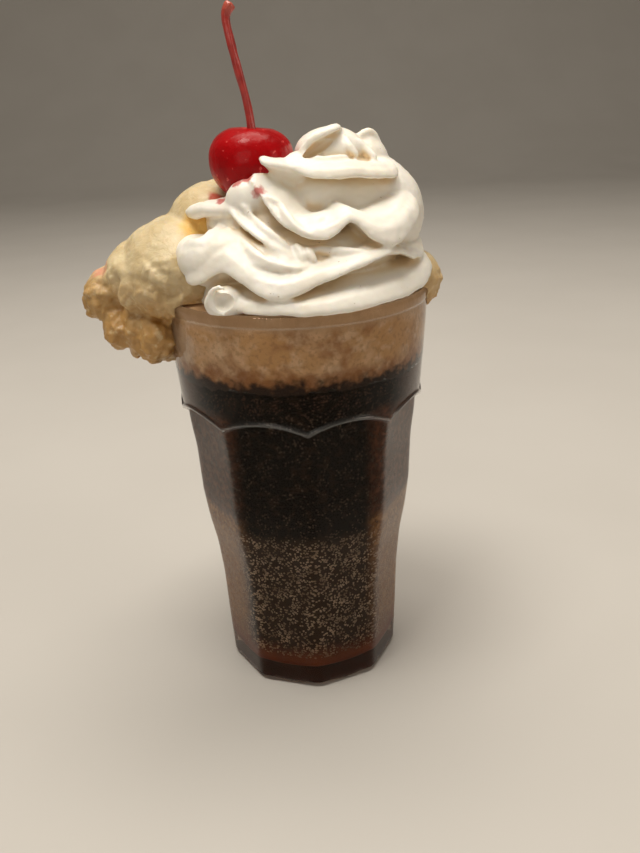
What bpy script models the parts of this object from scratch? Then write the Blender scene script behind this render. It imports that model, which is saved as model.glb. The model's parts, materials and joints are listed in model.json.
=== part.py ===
"""Ice cream float in a panelled tumbler: glass, drink, foam, ice cream, whipped cream and cherry.

The glass stands on the ground with its axis on Z. Its underside is at Z = 0.
Front is -Y. Azimuths are degrees from the front, growing towards +X.
"""

import math

import bmesh
import bpy
from mathutils import Matrix, Vector, noise

MM = 0.001
GAP = 0.3                       # clearance between neighbouring pieces

# Glass, in millimetres
GLASS_HEIGHT = 131.0
RIM_RADIUS = 41.0
RIM_WALL = 2.6
BEAD_HEIGHT = 3.4               # rounded band under the rim
BEAD_STEP = 0.35
BEAD_EASE = 0.6                 # the band's lower edge slants over this height, up and down
SHOULDER_RADIUS = 38.05         # round body at the ledge above the panels
BODY_RADII = ((99.7, 38.45), (111.0, 39.7))     # (level, radius) of the round body above it
PANEL_COUNT = 9
PANEL_TURN = 3.0                # azimuth of the front panel edge
PANEL_TOP_EDGE = 93.8           # panel tops are arched: low at the edges
PANEL_TOP_CROWN = 96.9          # and high in the middle
LEDGE_HEIGHT = 1.6              # bevelled ledge above the panels
LEDGE_LIP = 0.35                # the panels swell by this over their top millimetre
LEDGE_LIP_HEIGHT = 1.0
PANEL_RADII = ((2.6, 29.4), (16.0, 30.1), (34.0, 30.8), (46.0, 32.0), (56.0, 33.9),
               (66.0, 35.2), (80.0, 35.8), (92.0, 36.9))
FOOT_RADIUS = 25.3
FOOT_BEVEL = 2.6
BASE_THICKNESS = 9.5
FLOOR_ROUNDING = ((1.2, 1.2), (4.0, 0.0))       # (inwards, up) steps of the rounded inner floor
INNER_RADII = ((13.5, 26.2), (34.0, 27.0), (46.0, 28.3), (58.0, 30.4), (70.0, 31.6),
               (94.0, 33.0), (100.0, 34.2), (114.0, 36.3), (128.0, 38.0))
COLUMNS_PER_PANEL = 6
COLUMNS = PANEL_COUNT * COLUMNS_PER_PANEL
CONTENTS_COLUMNS = 48

# Levels of the contents
DRINK_LEVEL = 107.8
FOAM_LEVEL = GLASS_HEIGHT
FOAM_EDGE_ROUNDING = 0.7

# Whipped cream: each fold is a lip with a domed top and a hollow underside.
# Its stations are (azimuth, lip radius, lip level, rise) about the fold's own centre.
RIM_FOLD = dict(
    centre=(2, 0), depth=22, drop=3.0, lip=0.9, hollow=2.5,
    stations=((-50, 36, 134.5, 4), (-34, 39.6, 133.2, 5), (-18, 40.6, 132.2, 6),
              (-4, 41.0, 132.0, 6), (8, 41.8, 131.8, 6), (22, 41.6, 132.2, 7),
              (36, 40.6, 132.6, 7), (50, 39.6, 133.0, 7), (66, 39.4, 133.8, 7),
              (84, 39.0, 136.8, 6), (110, 38.0, 138.5, 6), (140, 37.5, 136.5, 7),
              (175, 38.0, 134.5, 7), (212, 37.0, 136.5, 6), (246, 34.0, 139.0, 5)))
LOWER_FOLD = dict(
    centre=(2, -2), depth=24, drop=3.5, lip=0.9, hollow=3.4,
    stations=((-88, 29, 150.0, 3), (-70, 34.6, 145.0, 6), (-57, 38.6, 140.4, 10),
              (-49, 39.8, 138.8, 12), (-41, 38.4, 140.6, 11), (-34, 37.4, 142.8, 9),
              (-26, 37.6, 140.8, 9), (-17, 38.8, 137.6, 8), (-9, 38.7, 136.4, 8),
              (0, 38.0, 137.6, 7), (10, 37.0, 139.8, 5.5), (21, 36.8, 142.0, 4.2),
              (31, 37.4, 143.8, 3.6), (41, 37.2, 145.0, 3.6), (51, 36.4, 144.2, 3.6),
              (66, 36.4, 141.4, 4), (84, 36.8, 141.0, 4), (104, 36.4, 144.0, 5),
              (134, 35.0, 147.0, 7), (172, 35.0, 144.0, 8), (206, 32.0, 148.5, 6),
              (240, 28.0, 151.0, 4)))
MIDDLE_FOLD = dict(
    centre=(8, -3), depth=20, drop=3.0, lip=0.8, hollow=3.0,
    stations=((-60, 24.0, 166.5, 1.5), (-44, 26.2, 165.0, 1.8), (-36, 26.4, 161.0, 2.0),
              (-28, 27.4, 157.4, 2.6), (-19, 28.6, 153.8, 3.0), (-9, 29.7, 151.0, 4.4),
              (1, 30.0, 150.2, 5.4), (8, 29.8, 151.4, 5.6), (16, 28.8, 154.2, 4.4),
              (22, 30.2, 152.2, 5.8), (27, 32.0, 149.2, 8), (34, 32.8, 147.6, 9),
              (44, 32.2, 148.0, 9.5), (56, 31.2, 150.2, 9), (72, 30.0, 153.6, 7),
              (90, 27.5, 156.0, 5), (120, 27.4, 158.0, 5), (150, 27.2, 157.0, 6),
              (178, 26.4, 157.0, 6), (214, 24.5, 160.5, 5), (248, 21.0, 162.0, 4)))
UPPER_FOLD = dict(
    centre=(14, -1), depth=15, drop=2.6, lip=0.8, hollow=2.4,
    stations=((-60, 18.0, 171.0, 1.6), (-44, 21.0, 169.2, 2.4), (-32, 21.5, 166.8, 3.6),
              (-19, 21.5, 165.2, 4.4), (-4, 20.7, 164.9, 4.4), (17, 20.4, 164.7, 4.4),
              (38, 20.6, 163.9, 4.4), (56, 19.8, 164.0, 4.0), (70, 17.8, 165.4, 3.0),
              (86, 15.0, 167.0, 2.0), (120, 15.5, 167.5, 3.0), (165, 16.5, 168.5, 4.0),
              (205, 16.0, 168.0, 4.0), (240, 13.0, 170.0, 3.0)))
# pleats that fan out from under the cherry
PLEAT_ABOVE = dict(
    centre=(14, 2), depth=12, drop=2.0, lip=0.7, hollow=1.2,
    stations=((-46, 31.0, 163.0, 1.2), (-38, 32.2, 160.2, 1.6), (-31, 32.8, 155.6, 2.4),
              (-23, 33.0, 153.0, 3.0), (-14, 32.6, 153.2, 3.0), (-4, 31, 155.0, 2.4)))
PLEAT_BELOW = dict(
    centre=(6, 4), depth=12, drop=2.4, lip=0.7, hollow=1.6,
    stations=((-52, 31.5, 160.0, 1.6), (-45, 34.4, 158.8, 2.0), (-32, 36.4, 153.6, 2.4),
              (-20, 38.0, 149.4, 2.6), (-11, 38.2, 145.6, 3.0), (-2, 38.2, 142.9, 2.6),
              (6, 37.2, 142.6, 2.2)))
PLEAT_LOW = dict(
    centre=(6, 2), depth=12, drop=2.4, lip=0.7, hollow=1.6,
    stations=((-56, 34.0, 154.0, 1.6), (-44, 38.0, 150.4, 2.0), (-31, 39.2, 146.4, 2.2),
              (-20, 39.8, 144.0, 2.2), (-8, 39.2, 143.0, 2.0), (3, 37.8, 143.0, 1.8)))
# finger that points left under the cherry
FINGER = dict(
    centre=(-6, -4), depth=12, drop=2.6, lip=2.0, hollow=0.0,
    stations=((-104, 18, 155.0, 3.0), (-86, 22.8, 155.4, 3.2), (-66, 23.6, 156.2, 3.2),
              (-44, 21, 157.4, 3.2), (-20, 19, 156, 3.0)))
# small peak in front of the cherry
PEAK = dict(
    centre=(2, 0), depth=7, drop=9.0, lip=1.0, hollow=-2.0,
    stations=((-31, 22.0, 171.0, 1.4), (-26, 22.0, 170.0, 1.6), (-19, 21.0, 168.6, 2.0),
              (-9, 18.8, 167.6, 2.2), (6, 17.1, 167.2, 2.0), (16, 16.0, 167.0, 2.0)))
FOLDS = (RIM_FOLD, LOWER_FOLD, MIDDLE_FOLD, UPPER_FOLD, PLEAT_ABOVE, PLEAT_BELOW, PLEAT_LOW,
         FINGER, PEAK)
# (centre, radii) of the rounded masses that the folds grow from
CREAM_CORE = (
    ((2, -1, 132), (35, 35, 12)),       # seat on the rim
    ((2, -2, 144), (31, 30, 12)),
    ((17, 4, 151.5), (23.4, 22, 19.5)),     # sweeping wall on the right
    ((10, -1, 158), (17.0, 15.5, 11)),
    ((12, -1.5, 170), (10.4, 9.6, 7.4)),    # crown
    ((21, 3.5, 167.5), (8.6, 8.0, 7.0)),
    ((24.8, 2, 172.6), (2.6, 3.6, 3.4)),    # second peak
    ((-10, -10, 152), (15, 14, 9.5)),       # bed of the cherry
    ((-11.5, -20, 159.5), (6.5, 4.0, 5.6)),
    ((-23, -21, 143.6), (9.6, 9.4, 8.0)),   # lobe on the left
    ((-19.0, -32.4, 133.8), (4.8, 3.2, 3.6)),
)
CROWN_HOLLOW = ((9.6, -10.6, 172.3), (8.6, 4.4, 3.2))
HOLLOW_SLANT = -32.0                    # degrees about Y, high end towards +X
CURL_CENTRE = (-19.4, -36.0, 134.9)     # ring-shaped tail of the lowest fold
CURL_RADIUS = 3.9
CURL_THICKNESS = 1.1
CREAM_FACES = 4500
CREAM_VOXEL = 1.0

# Ice cream: (centre, radii) of the lobes of each scoop
LEFT_SCOOP = (
    ((-34.5, -2, 137.5), (19, 21, 17.0)),
    ((-25, 4, 149.0), (13.5, 17, 14.0)),
    ((-46, -1, 135.5), (12.5, 17, 12.0)),
    ((-57.2, -2, 130.8), (8.0, 10, 8.8)),
    ((-50.5, -3, 122.0), (9.6, 13, 9.6)),
    ((-42.5, -4, 120.0), (8.6, 15, 9.6)),
    ((-22, 5, 155.5), (9, 12, 8.0)),
)
RIGHT_SCOOP = (
    ((34, 2, 132.0), (11.4, 14, 9.0)),
    ((30, 14, 133), (12, 12, 8)),
)
SCOOP_RELIEF = 0.9
SCOOP_VOXEL = 1.3
LEFT_FACES = 1700
RIGHT_FACES = 420

# Cherry and its stem
CHERRY_CENTRE = (-10.7, -7.0, 169.3)
CHERRY_RADIUS = 12.3
CHERRY_CROWN = 9.2              # from its widest level up to its shoulders
CHERRY_DIMPLE = 2.4
CHERRY_TILT = 4.0               # degrees, bottom towards -X
STEM_ROUTE = ((-10.1, -7.0, 176.5), (-10.4, -7.0, 181.0), (-11.4, -7.0, 187.0), (-12.8, -7.0, 193.6),
              (-14.2, -7.0, 200.0), (-15.1, -7.0, 205.4), (-14.8, -7.0, 208.0), (-13.2, -7.0, 210.2))
STEM_RADIUS = 1.15
STEM_TIP_RADIUS = 1.7


def clear_scene():
    for old in list(bpy.data.objects):
        bpy.data.objects.remove(old, do_unlink=True)


def principled(name, colour, roughness, transmission=0.0):
    material = bpy.data.materials.new(name)
    material.use_nodes = True
    shader = material.node_tree.nodes["Principled BSDF"]
    shader.inputs["Base Color"].default_value = (*colour, 1.0)
    shader.inputs["Roughness"].default_value = roughness
    shader.inputs["Metallic"].default_value = 0.0
    shader.inputs["Transmission Weight"].default_value = transmission
    return material


def add_object(name, mesh, material=None):
    obj = bpy.data.objects.new(name, mesh)
    bpy.context.scene.collection.objects.link(obj)
    if material:
        mesh.materials.clear()
        mesh.materials.append(material)
    return obj


def finish_smooth(obj, angle):
    obj.data.shade_smooth()
    obj.data.set_sharp_from_angle(angle=math.radians(angle))


def between(stations, place):
    """Straight interpolation in a list of (place, value) pairs."""
    for (low, low_value), (high, high_value) in zip(stations, stations[1:]):
        if place <= high:
            share = max(0.0, (place - low) / (high - low))
            return low_value + (high_value - low_value) * share
    return stations[-1][1]


def smooth_path(points, step):
    """Catmull-Rom curve through the points, sampled about every step."""
    path = []
    last = len(points) - 1
    for i in range(last):
        before = points[max(i - 1, 0)]
        start, end = points[i], points[i + 1]
        after = points[min(i + 2, last)]
        count = max(1, round((end - start).length / step))
        for k in range(count):
            t = k / count
            path.append(0.5 * (2 * start + (end - before) * t
                               + (2 * before - 5 * start + 4 * end - after) * t ** 2
                               + (3 * start - before - 3 * end + after) * t ** 3))
    path.append(points[last])
    return path


def loft(rings):
    """Closed skin through rings of equal count, listed in millimetres."""
    bm = bmesh.new()
    rows = [[bm.verts.new(Vector(point) * MM) for point in ring] for ring in rings]
    for lower, upper in zip(rows, rows[1:]):
        for k in range(len(lower)):
            following = (k + 1) % len(lower)
            bm.faces.new((lower[k], lower[following], upper[following], upper[k]))
    bm.faces.new(reversed(rows[0]))
    bm.faces.new(rows[-1])
    bmesh.ops.recalc_face_normals(bm, faces=bm.faces)
    return bm


def to_mesh(bm, name):
    mesh = bpy.data.meshes.new(name)
    bm.to_mesh(mesh)
    bm.free()
    return mesh


def apply_modifiers(obj):
    bpy.context.view_layer.update()
    evaluated = obj.evaluated_get(bpy.context.evaluated_depsgraph_get())
    mesh = bpy.data.meshes.new_from_object(evaluated)
    obj.modifiers.clear()
    obj.data = mesh


# Glass

def panel_offset(azimuth):
    """Angle from the middle of the nearest panel, from -half to +half a panel."""
    width = 360.0 / PANEL_COUNT
    return (azimuth - PANEL_TURN) % width - width / 2


def flat_panel(radius, azimuth):
    half = math.radians(180.0 / PANEL_COUNT)
    return radius * math.cos(half) / math.cos(math.radians(panel_offset(azimuth)))


def arch_level(azimuth):
    half = 180.0 / PANEL_COUNT
    share = panel_offset(azimuth) / half
    return PANEL_TOP_CROWN - (PANEL_TOP_CROWN - PANEL_TOP_EDGE) * share ** 2


def ring(radius_and_level):
    """One ring of the glass; the rule gives the radius and level at an azimuth."""
    points = []
    for k in range(COLUMNS):
        azimuth = PANEL_TURN + k * 360.0 / COLUMNS
        radius, level = radius_and_level(azimuth)
        angle = math.radians(azimuth)
        points.append((radius * math.sin(angle), -radius * math.cos(angle), level))
    return points


def round_ring(radius, level):
    return ring(lambda azimuth: (radius, level))


def glass_rings():
    """Rings from the underside up the outside, over the rim and down to the inner floor."""
    rings = [round_ring(FOOT_RADIUS, 0.0)]
    rings.append(round_ring(FOOT_RADIUS + 0.6 * FOOT_BEVEL, 0.3 * FOOT_BEVEL))
    for level, radius in PANEL_RADII[:-1]:
        rings.append(ring(lambda azimuth, r=radius, z=level: (flat_panel(r, azimuth), z)))
    top = PANEL_RADII[-1][1]
    rings.append(ring(lambda azimuth: (flat_panel(top, azimuth), arch_level(azimuth) - LEDGE_LIP_HEIGHT)))
    rings.append(ring(lambda azimuth: (flat_panel(top, azimuth) + LEDGE_LIP, arch_level(azimuth))))
    rings.append(ring(lambda azimuth: (SHOULDER_RADIUS, arch_level(azimuth) + LEDGE_HEIGHT)))
    for level, radius in BODY_RADII:
        rings.append(round_ring(radius, level))
    rings.append(round_ring(RIM_RADIUS - BEAD_STEP, GLASS_HEIGHT - BEAD_HEIGHT - BEAD_EASE))
    rings.append(round_ring(RIM_RADIUS, GLASS_HEIGHT - BEAD_HEIGHT + BEAD_EASE))
    half = RIM_WALL / 2
    for degrees in (20, 55, 90, 125, 160):
        turn = math.radians(degrees)
        rings.append(round_ring(RIM_RADIUS - half + half * math.cos(turn),
                                GLASS_HEIGHT - half + half * math.sin(turn)))
    for level, radius in reversed(INNER_RADII):
        rings.append(round_ring(radius, level))
    for inwards, up in FLOOR_ROUNDING:
        rings.append(round_ring(INNER_RADII[0][1] - inwards, BASE_THICKNESS + up))
    return rings


def make_glass(material):
    bm = loft(glass_rings())
    obj = add_object("glass", to_mesh(bm, "glass"), material)
    finish_smooth(obj, 14)
    return obj


def inner_radius(level):
    return between(INNER_RADII, level) - GAP


def turned(name, profile, columns, material):
    """Solid of revolution from (radius, level) pairs, listed upwards."""
    rings = []
    for radius, level in profile:
        rings.append([(radius * math.cos(2 * math.pi * k / columns),
                       radius * math.sin(2 * math.pi * k / columns), level) for k in range(columns)])
    obj = add_object(name, to_mesh(loft(rings), name), material)
    finish_smooth(obj, 40)
    return obj


def make_drink(material):
    foot = BASE_THICKNESS + GAP
    corner = INNER_RADII[0][1] - 1.5 * GAP
    profile = [(corner - inwards, foot + up) for inwards, up in reversed(FLOOR_ROUNDING)]
    profile += [(radius - GAP, level) for level, radius in INNER_RADII if level < DRINK_LEVEL - 2]
    profile.append((inner_radius(DRINK_LEVEL), DRINK_LEVEL))
    return turned("drink", profile, CONTENTS_COLUMNS, material)


def make_foam(material):
    top_radius = INNER_RADII[-1][1] - GAP
    profile = [(inner_radius(DRINK_LEVEL + GAP), DRINK_LEVEL + GAP)]
    profile += [(radius - GAP, level) for level, radius in INNER_RADII if level > DRINK_LEVEL + 2]
    profile.append((top_radius, FOAM_LEVEL - FOAM_EDGE_ROUNDING))
    profile.append((top_radius - FOAM_EDGE_ROUNDING, FOAM_LEVEL))
    return turned("foam", profile, CONTENTS_COLUMNS, material)


# Whipped cream and ice cream

def ellipsoid(centre, radii):
    bm = bmesh.new()
    bmesh.ops.create_icosphere(bm, subdivisions=4, radius=1.0)
    size = Matrix.Diagonal((*(Vector(radii) * MM), 1.0))
    bmesh.ops.transform(bm, matrix=Matrix.Translation(Vector(centre) * MM) @ size, verts=bm.verts)
    return to_mesh(bm, "lump")


def fold_section(fold, rise):
    """Outline of a fold as (outward, up) steps from its lip: domed top, round lip, hollow underside."""
    depth, drop, lip, hollow = fold["depth"], fold["drop"], fold["lip"], fold["hollow"]
    lip_start = math.radians(15)
    outline = []
    for k in range(9):
        t = k / 9
        out = (1 - t) ** 2 * -depth + 2 * t * (1 - t) * -0.04 * depth + t * t * lip * math.cos(lip_start)
        up = (1 - t) ** 2 * rise * 0.8 + 2 * t * (1 - t) * rise * 1.15 + t * t * lip * math.sin(lip_start)
        outline.append((out, up))
    for k in range(5):
        turn = lip_start - math.radians(30 * k)
        outline.append((lip * math.cos(turn), lip * math.sin(turn)))
    for k in range(1, 7):
        t = k / 6
        outline.append((-2 * t * (1 - t) * 0.5 * depth - t * t * depth,
                        -lip * (1 - t) ** 2 + 2 * t * (1 - t) * hollow - t * t * drop))
    return outline


def fold_mesh(fold, step):
    """A fold swept along its lip; both ends sink into the cream."""
    cx, cy = fold["centre"]
    lips = []
    for azimuth, radius, level, rise in fold["stations"]:
        turn = math.radians(azimuth)
        lips.append(Vector((cx + radius * math.sin(turn), cy - radius * math.cos(turn), level, rise)))
    path = smooth_path(lips, step)
    taper = min(0.16 * len(path), 8.0 / step)
    rings = []
    for k, station in enumerate(path):
        lip = station.to_3d()
        outward = Vector((lip.x - cx, lip.y - cy, 0)).normalized()
        near_end = min(k, len(path) - 1 - k) / taper
        size = math.sqrt(1 - (1 - min(near_end, 1.0)) ** 2) * 0.96 + 0.04
        root = lip - outward * fold["depth"]
        rings.append([root + (outward * (out + fold["depth"]) + Vector((0, 0, up))) * size
                      for out, up in fold_section(fold, station.w)])
    return to_mesh(loft(rings), "fold")


def curl_mesh():
    """The ring-shaped tail of the lowest fold."""
    rings = []
    outward = Vector((CURL_CENTRE[0], CURL_CENTRE[1], 0)).normalized()
    along = Vector((-outward.y, outward.x, 0))
    for k in range(25):
        turn = math.radians(50 + 250 * k / 24)
        radial = along * math.cos(turn) + Vector((0, 0, math.sin(turn)))
        middle = Vector(CURL_CENTRE) + radial * CURL_RADIUS - outward * 1.6 * abs(math.cos(turn / 2))
        thick = CURL_THICKNESS * (0.6 + 0.4 * math.sin(math.pi * k / 24))
        rings.append([middle + (radial * math.cos(a) + outward * math.sin(a)) * thick
                      for a in [2 * math.pi * j / 10 for j in range(10)]])
    return to_mesh(loft(rings), "curl")


def fuse(name, meshes, voxel, smoothing):
    """Join closed meshes into one skin with a voxel remesh, then relax it."""
    bm = bmesh.new()
    for mesh in meshes:
        bm.from_mesh(mesh)
        bpy.data.meshes.remove(mesh)
    obj = add_object(name, to_mesh(bm, name))
    remesh = obj.modifiers.new("remesh", "REMESH")
    remesh.mode = "VOXEL"
    remesh.voxel_size = voxel * MM
    smooth = obj.modifiers.new("smooth", "SMOOTH")
    smooth.factor = 0.5
    smooth.iterations = smoothing
    apply_modifiers(obj)
    return obj


def roughen(obj, height, scale):
    """Crags and dents of the scooped ice cream."""
    for vertex in obj.data.vertices:
        place = vertex.co / (scale * MM)
        lift = noise.noise(place) + 0.5 * noise.noise(place * 2.3 + Vector((7, 3, 1)))
        vertex.co += vertex.normal * lift * height * MM


def thin_out(obj, faces):
    decimate = obj.modifiers.new("decimate", "DECIMATE")
    decimate.ratio = faces / (2.0 * len(obj.data.polygons))
    decimate.use_collapse_triangulate = True
    apply_modifiers(obj)


def cut(obj, cutter):
    """Take the cutter's space out of the object and remove the cutter."""
    boolean = obj.modifiers.new("cut", "BOOLEAN")
    boolean.operation = "DIFFERENCE"
    boolean.solver = "EXACT"
    boolean.object = cutter
    apply_modifiers(obj)
    bpy.data.objects.remove(cutter, do_unlink=True)


def grown_copy(obj, amount):
    """A copy whose skin lies further out by the amount, as a cutter."""
    copy = add_object(obj.name + "_room", obj.data.copy())
    copy.matrix_world = obj.matrix_world.copy()
    swell = copy.modifiers.new("swell", "DISPLACE")
    swell.strength = amount * MM
    swell.mid_level = 0.0
    apply_modifiers(copy)
    return copy


def filled_glass_cutter():
    """The glass with everything in it up to the rim, with the clearance round it."""
    rings = []
    for outline in glass_rings():
        if rings and outline[0][2] < rings[-1][0][2]:
            break
        grown = [Vector((x, y, 0)).normalized() * (math.hypot(x, y) + GAP) for x, y, z in outline]
        rings.append([Vector((flat.x, flat.y, point[2])) for flat, point in zip(grown, outline)])
    rings = rings[:-1]
    top = RIM_RADIUS - RIM_WALL / 2 + GAP
    rings.append([Vector(p) for p in round_ring(top, GLASS_HEIGHT + GAP)])
    return add_object("filled_glass", to_mesh(loft(rings), "filled_glass"))


def keep_largest_body(obj):
    """Drop the loose scraps that a cut can leave."""
    bm = bmesh.new()
    bm.from_mesh(obj.data)
    bmesh.ops.remove_doubles(bm, verts=bm.verts, dist=0.02 * MM)
    bmesh.ops.dissolve_degenerate(bm, edges=bm.edges, dist=0.02 * MM)
    bmesh.ops.triangulate(bm, faces=bm.faces)
    bodies = []
    left = set(bm.verts)
    while left:
        body = {left.pop()}
        edge_of_body = list(body)
        while edge_of_body:
            vertex = edge_of_body.pop()
            for edge in vertex.link_edges:
                other = edge.other_vert(vertex)
                if other in left:
                    left.remove(other)
                    body.add(other)
                    edge_of_body.append(other)
        bodies.append(body)
    largest = max(bodies, key=len)
    scraps = [vertex for body in bodies if body is not largest for vertex in body]
    bmesh.ops.delete(bm, geom=scraps, context="VERTS")
    bm.to_mesh(obj.data)
    bm.free()


def make_scoop(name, lobes, faces, neighbours, material):
    obj = fuse(name, [ellipsoid(centre, radii) for centre, radii in lobes], SCOOP_VOXEL, 4)
    roughen(obj, SCOOP_RELIEF, 7.0)
    thin_out(obj, faces)
    cut(obj, filled_glass_cutter())
    for neighbour in neighbours:
        cut(obj, grown_copy(neighbour, GAP))
    keep_largest_body(obj)
    obj.data.materials.clear()
    obj.data.materials.append(material)
    finish_smooth(obj, 60)
    return obj


def crown_hollow():
    """The slanting hollow that the crown's last turn leaves, as a cutter."""
    centre, radii = CROWN_HOLLOW
    mesh = ellipsoid((0, 0, 0), radii)
    slant = Matrix.Rotation(math.radians(HOLLOW_SLANT), 4, "Y")
    mesh.transform(Matrix.Translation(Vector(centre) * MM) @ slant)
    return add_object("crown_hollow", mesh)


def make_cream(neighbours, material):
    pieces = [ellipsoid(centre, radii) for centre, radii in CREAM_CORE]
    pieces += [fold_mesh(fold, 2.0) for fold in FOLDS]
    pieces.append(curl_mesh())
    obj = fuse("whipped_cream", pieces, CREAM_VOXEL, 2)
    cut(obj, crown_hollow())
    thin_out(obj, CREAM_FACES)
    cut(obj, filled_glass_cutter())
    for neighbour in neighbours:
        cut(obj, grown_copy(neighbour, GAP))
    keep_largest_body(obj)
    obj.data.materials.clear()
    obj.data.materials.append(material)
    finish_smooth(obj, 60)
    return obj


# Cherry

def cherry_profile():
    """(radius, height) pairs from the round bottom past flat shoulders to the dimple on top."""
    profile = []
    for degrees in (-80, -66, -50, -33, -16, 0):
        turn = math.radians(degrees)
        profile.append((CHERRY_RADIUS * math.cos(turn), CHERRY_RADIUS * 0.96 * math.sin(turn)))
    for degrees in (16, 32, 48, 64, 78):
        turn = math.radians(degrees)
        profile.append((CHERRY_RADIUS * math.cos(turn) ** 0.72, CHERRY_CROWN * math.sin(turn) ** 0.92))
    profile.append((CHERRY_RADIUS * 0.22, CHERRY_CROWN - CHERRY_DIMPLE * 0.4))
    profile.append((CHERRY_RADIUS * 0.15, CHERRY_CROWN - CHERRY_DIMPLE))
    return profile


def make_cherry(material):
    obj = turned("cherry", cherry_profile(), 22, material)
    tilt = Matrix.Rotation(math.radians(CHERRY_TILT), 4, "Y")
    obj.data.transform(Matrix.Translation(Vector(CHERRY_CENTRE) * MM) @ tilt)
    return obj


def make_stem(material):
    curve = bpy.data.curves.new("cherry_stem", "CURVE")
    curve.dimensions = "3D"
    curve.bevel_depth = STEM_RADIUS * MM
    curve.bevel_resolution = 2
    curve.use_fill_caps = True
    path = smooth_path([Vector(point) for point in STEM_ROUTE], 2.0)
    spline = curve.splines.new("POLY")
    spline.points.add(len(path) - 1)
    for k, place in enumerate(path):
        spline.points[k].co = (*(place * MM), 1.0)
        share = max(0.0, (k - len(path) + 5) / 4)
        spline.points[k].radius = 1.0 + (STEM_TIP_RADIUS / STEM_RADIUS - 1.0) * share
    obj = bpy.data.objects.new("cherry_stem", curve)
    bpy.context.scene.collection.objects.link(obj)
    curve.materials.append(material)
    return obj


def build():
    clear_scene()
    clear_glass = principled("clear_glass", (0.93, 0.93, 0.90), 0.04, transmission=1.0)
    cola = principled("dark_drink", (0.022, 0.009, 0.005), 0.15)
    froth = principled("tan_froth", (0.30, 0.18, 0.10), 0.6)
    vanilla = principled("vanilla_ice_cream", (0.80, 0.64, 0.36), 0.55)
    cream = principled("whipped_cream", (0.90, 0.86, 0.78), 0.45)
    cherry_red = principled("cherry_red", (0.55, 0.01, 0.01), 0.12)
    stem_red = principled("stem_red", (0.42, 0.02, 0.02), 0.35)

    make_glass(clear_glass)
    make_drink(cola)
    make_foam(froth)
    cherry = make_cherry(cherry_red)
    make_stem(stem_red)
    left = make_scoop("ice_cream_left", LEFT_SCOOP, LEFT_FACES, [cherry], vanilla)
    right = make_scoop("ice_cream_right", RIGHT_SCOOP, RIGHT_FACES, [], vanilla)
    make_cream([left, right, cherry], cream)


build()
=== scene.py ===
import json
import math
import random

import bpy
from mathutils import Matrix, Vector, noise
from mathutils.bvhtree import BVHTree

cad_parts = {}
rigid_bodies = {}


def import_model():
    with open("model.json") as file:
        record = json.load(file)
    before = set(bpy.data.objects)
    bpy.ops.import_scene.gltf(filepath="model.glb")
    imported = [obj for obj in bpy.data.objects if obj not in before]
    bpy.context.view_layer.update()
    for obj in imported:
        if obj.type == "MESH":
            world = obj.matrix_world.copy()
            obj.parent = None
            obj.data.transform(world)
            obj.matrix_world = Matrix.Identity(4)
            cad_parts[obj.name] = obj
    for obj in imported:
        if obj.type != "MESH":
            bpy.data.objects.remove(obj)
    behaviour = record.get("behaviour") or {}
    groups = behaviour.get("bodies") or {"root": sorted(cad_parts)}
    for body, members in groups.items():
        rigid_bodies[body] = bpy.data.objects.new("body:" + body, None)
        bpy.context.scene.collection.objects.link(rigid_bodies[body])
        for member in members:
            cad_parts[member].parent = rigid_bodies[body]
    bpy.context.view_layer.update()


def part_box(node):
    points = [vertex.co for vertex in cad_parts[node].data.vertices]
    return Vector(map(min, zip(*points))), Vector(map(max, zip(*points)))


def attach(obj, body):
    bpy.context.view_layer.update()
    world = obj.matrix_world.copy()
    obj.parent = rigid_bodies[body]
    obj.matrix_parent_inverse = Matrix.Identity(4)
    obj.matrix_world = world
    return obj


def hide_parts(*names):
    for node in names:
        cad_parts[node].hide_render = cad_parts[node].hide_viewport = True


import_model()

# An ice cream float. Sizes are in millimetres, the glass's axis is Z, the front is -Y.
# Azimuths are degrees from the front, growing towards +X.
MM = 0.001
SEED = 7

# Camera, as it stood in the photograph
CAMERA_PLACE = (5.57, -261.38, 185.87)
CAMERA_PITCH = 21.46
CAMERA_ROLL = -2.55
CAMERA_LENS = 35.54
CAMERA_SENSOR = 36.0

# Studio, in metres
FLOOR_HALF_WIDTH = 1.6
SWEEP_RADIUS = 0.9
SWEEP_STEPS = 18
CREAM_TOP = (0.0, 0.0, 0.13)    # what the lights aim at
BACKDROP_FOOT = (0.0, 0.95, 0.25)
# name, place, target, size, power, colour
LIGHTS = (
    ("key", (-0.22, -0.25, 1.15), CREAM_TOP, (0.40, 0.40), 7.8, (1.0, 0.95, 0.86)),
    ("overhead", (0.08, 0.14, 1.15), CREAM_TOP, (0.8, 0.65), 5.8, (1.0, 0.93, 0.83)),
    ("front", (-0.35, -1.15, 0.50), CREAM_TOP, (0.8, 0.6), 1.7, (1.0, 0.93, 0.83)),
    ("side", (0.62, -0.30, 0.30), CREAM_TOP, (0.3, 0.4), 0.6, (1.0, 0.90, 0.78)),
    ("backdrop", (0.0, 0.25, 0.95), BACKDROP_FOOT, (0.9, 0.4), 3.5, (1.0, 0.93, 0.84)),
)
ROOM_COLOUR = (0.95, 0.84, 0.70, 1.0)
ROOM_STRENGTH = 0.18

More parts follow.
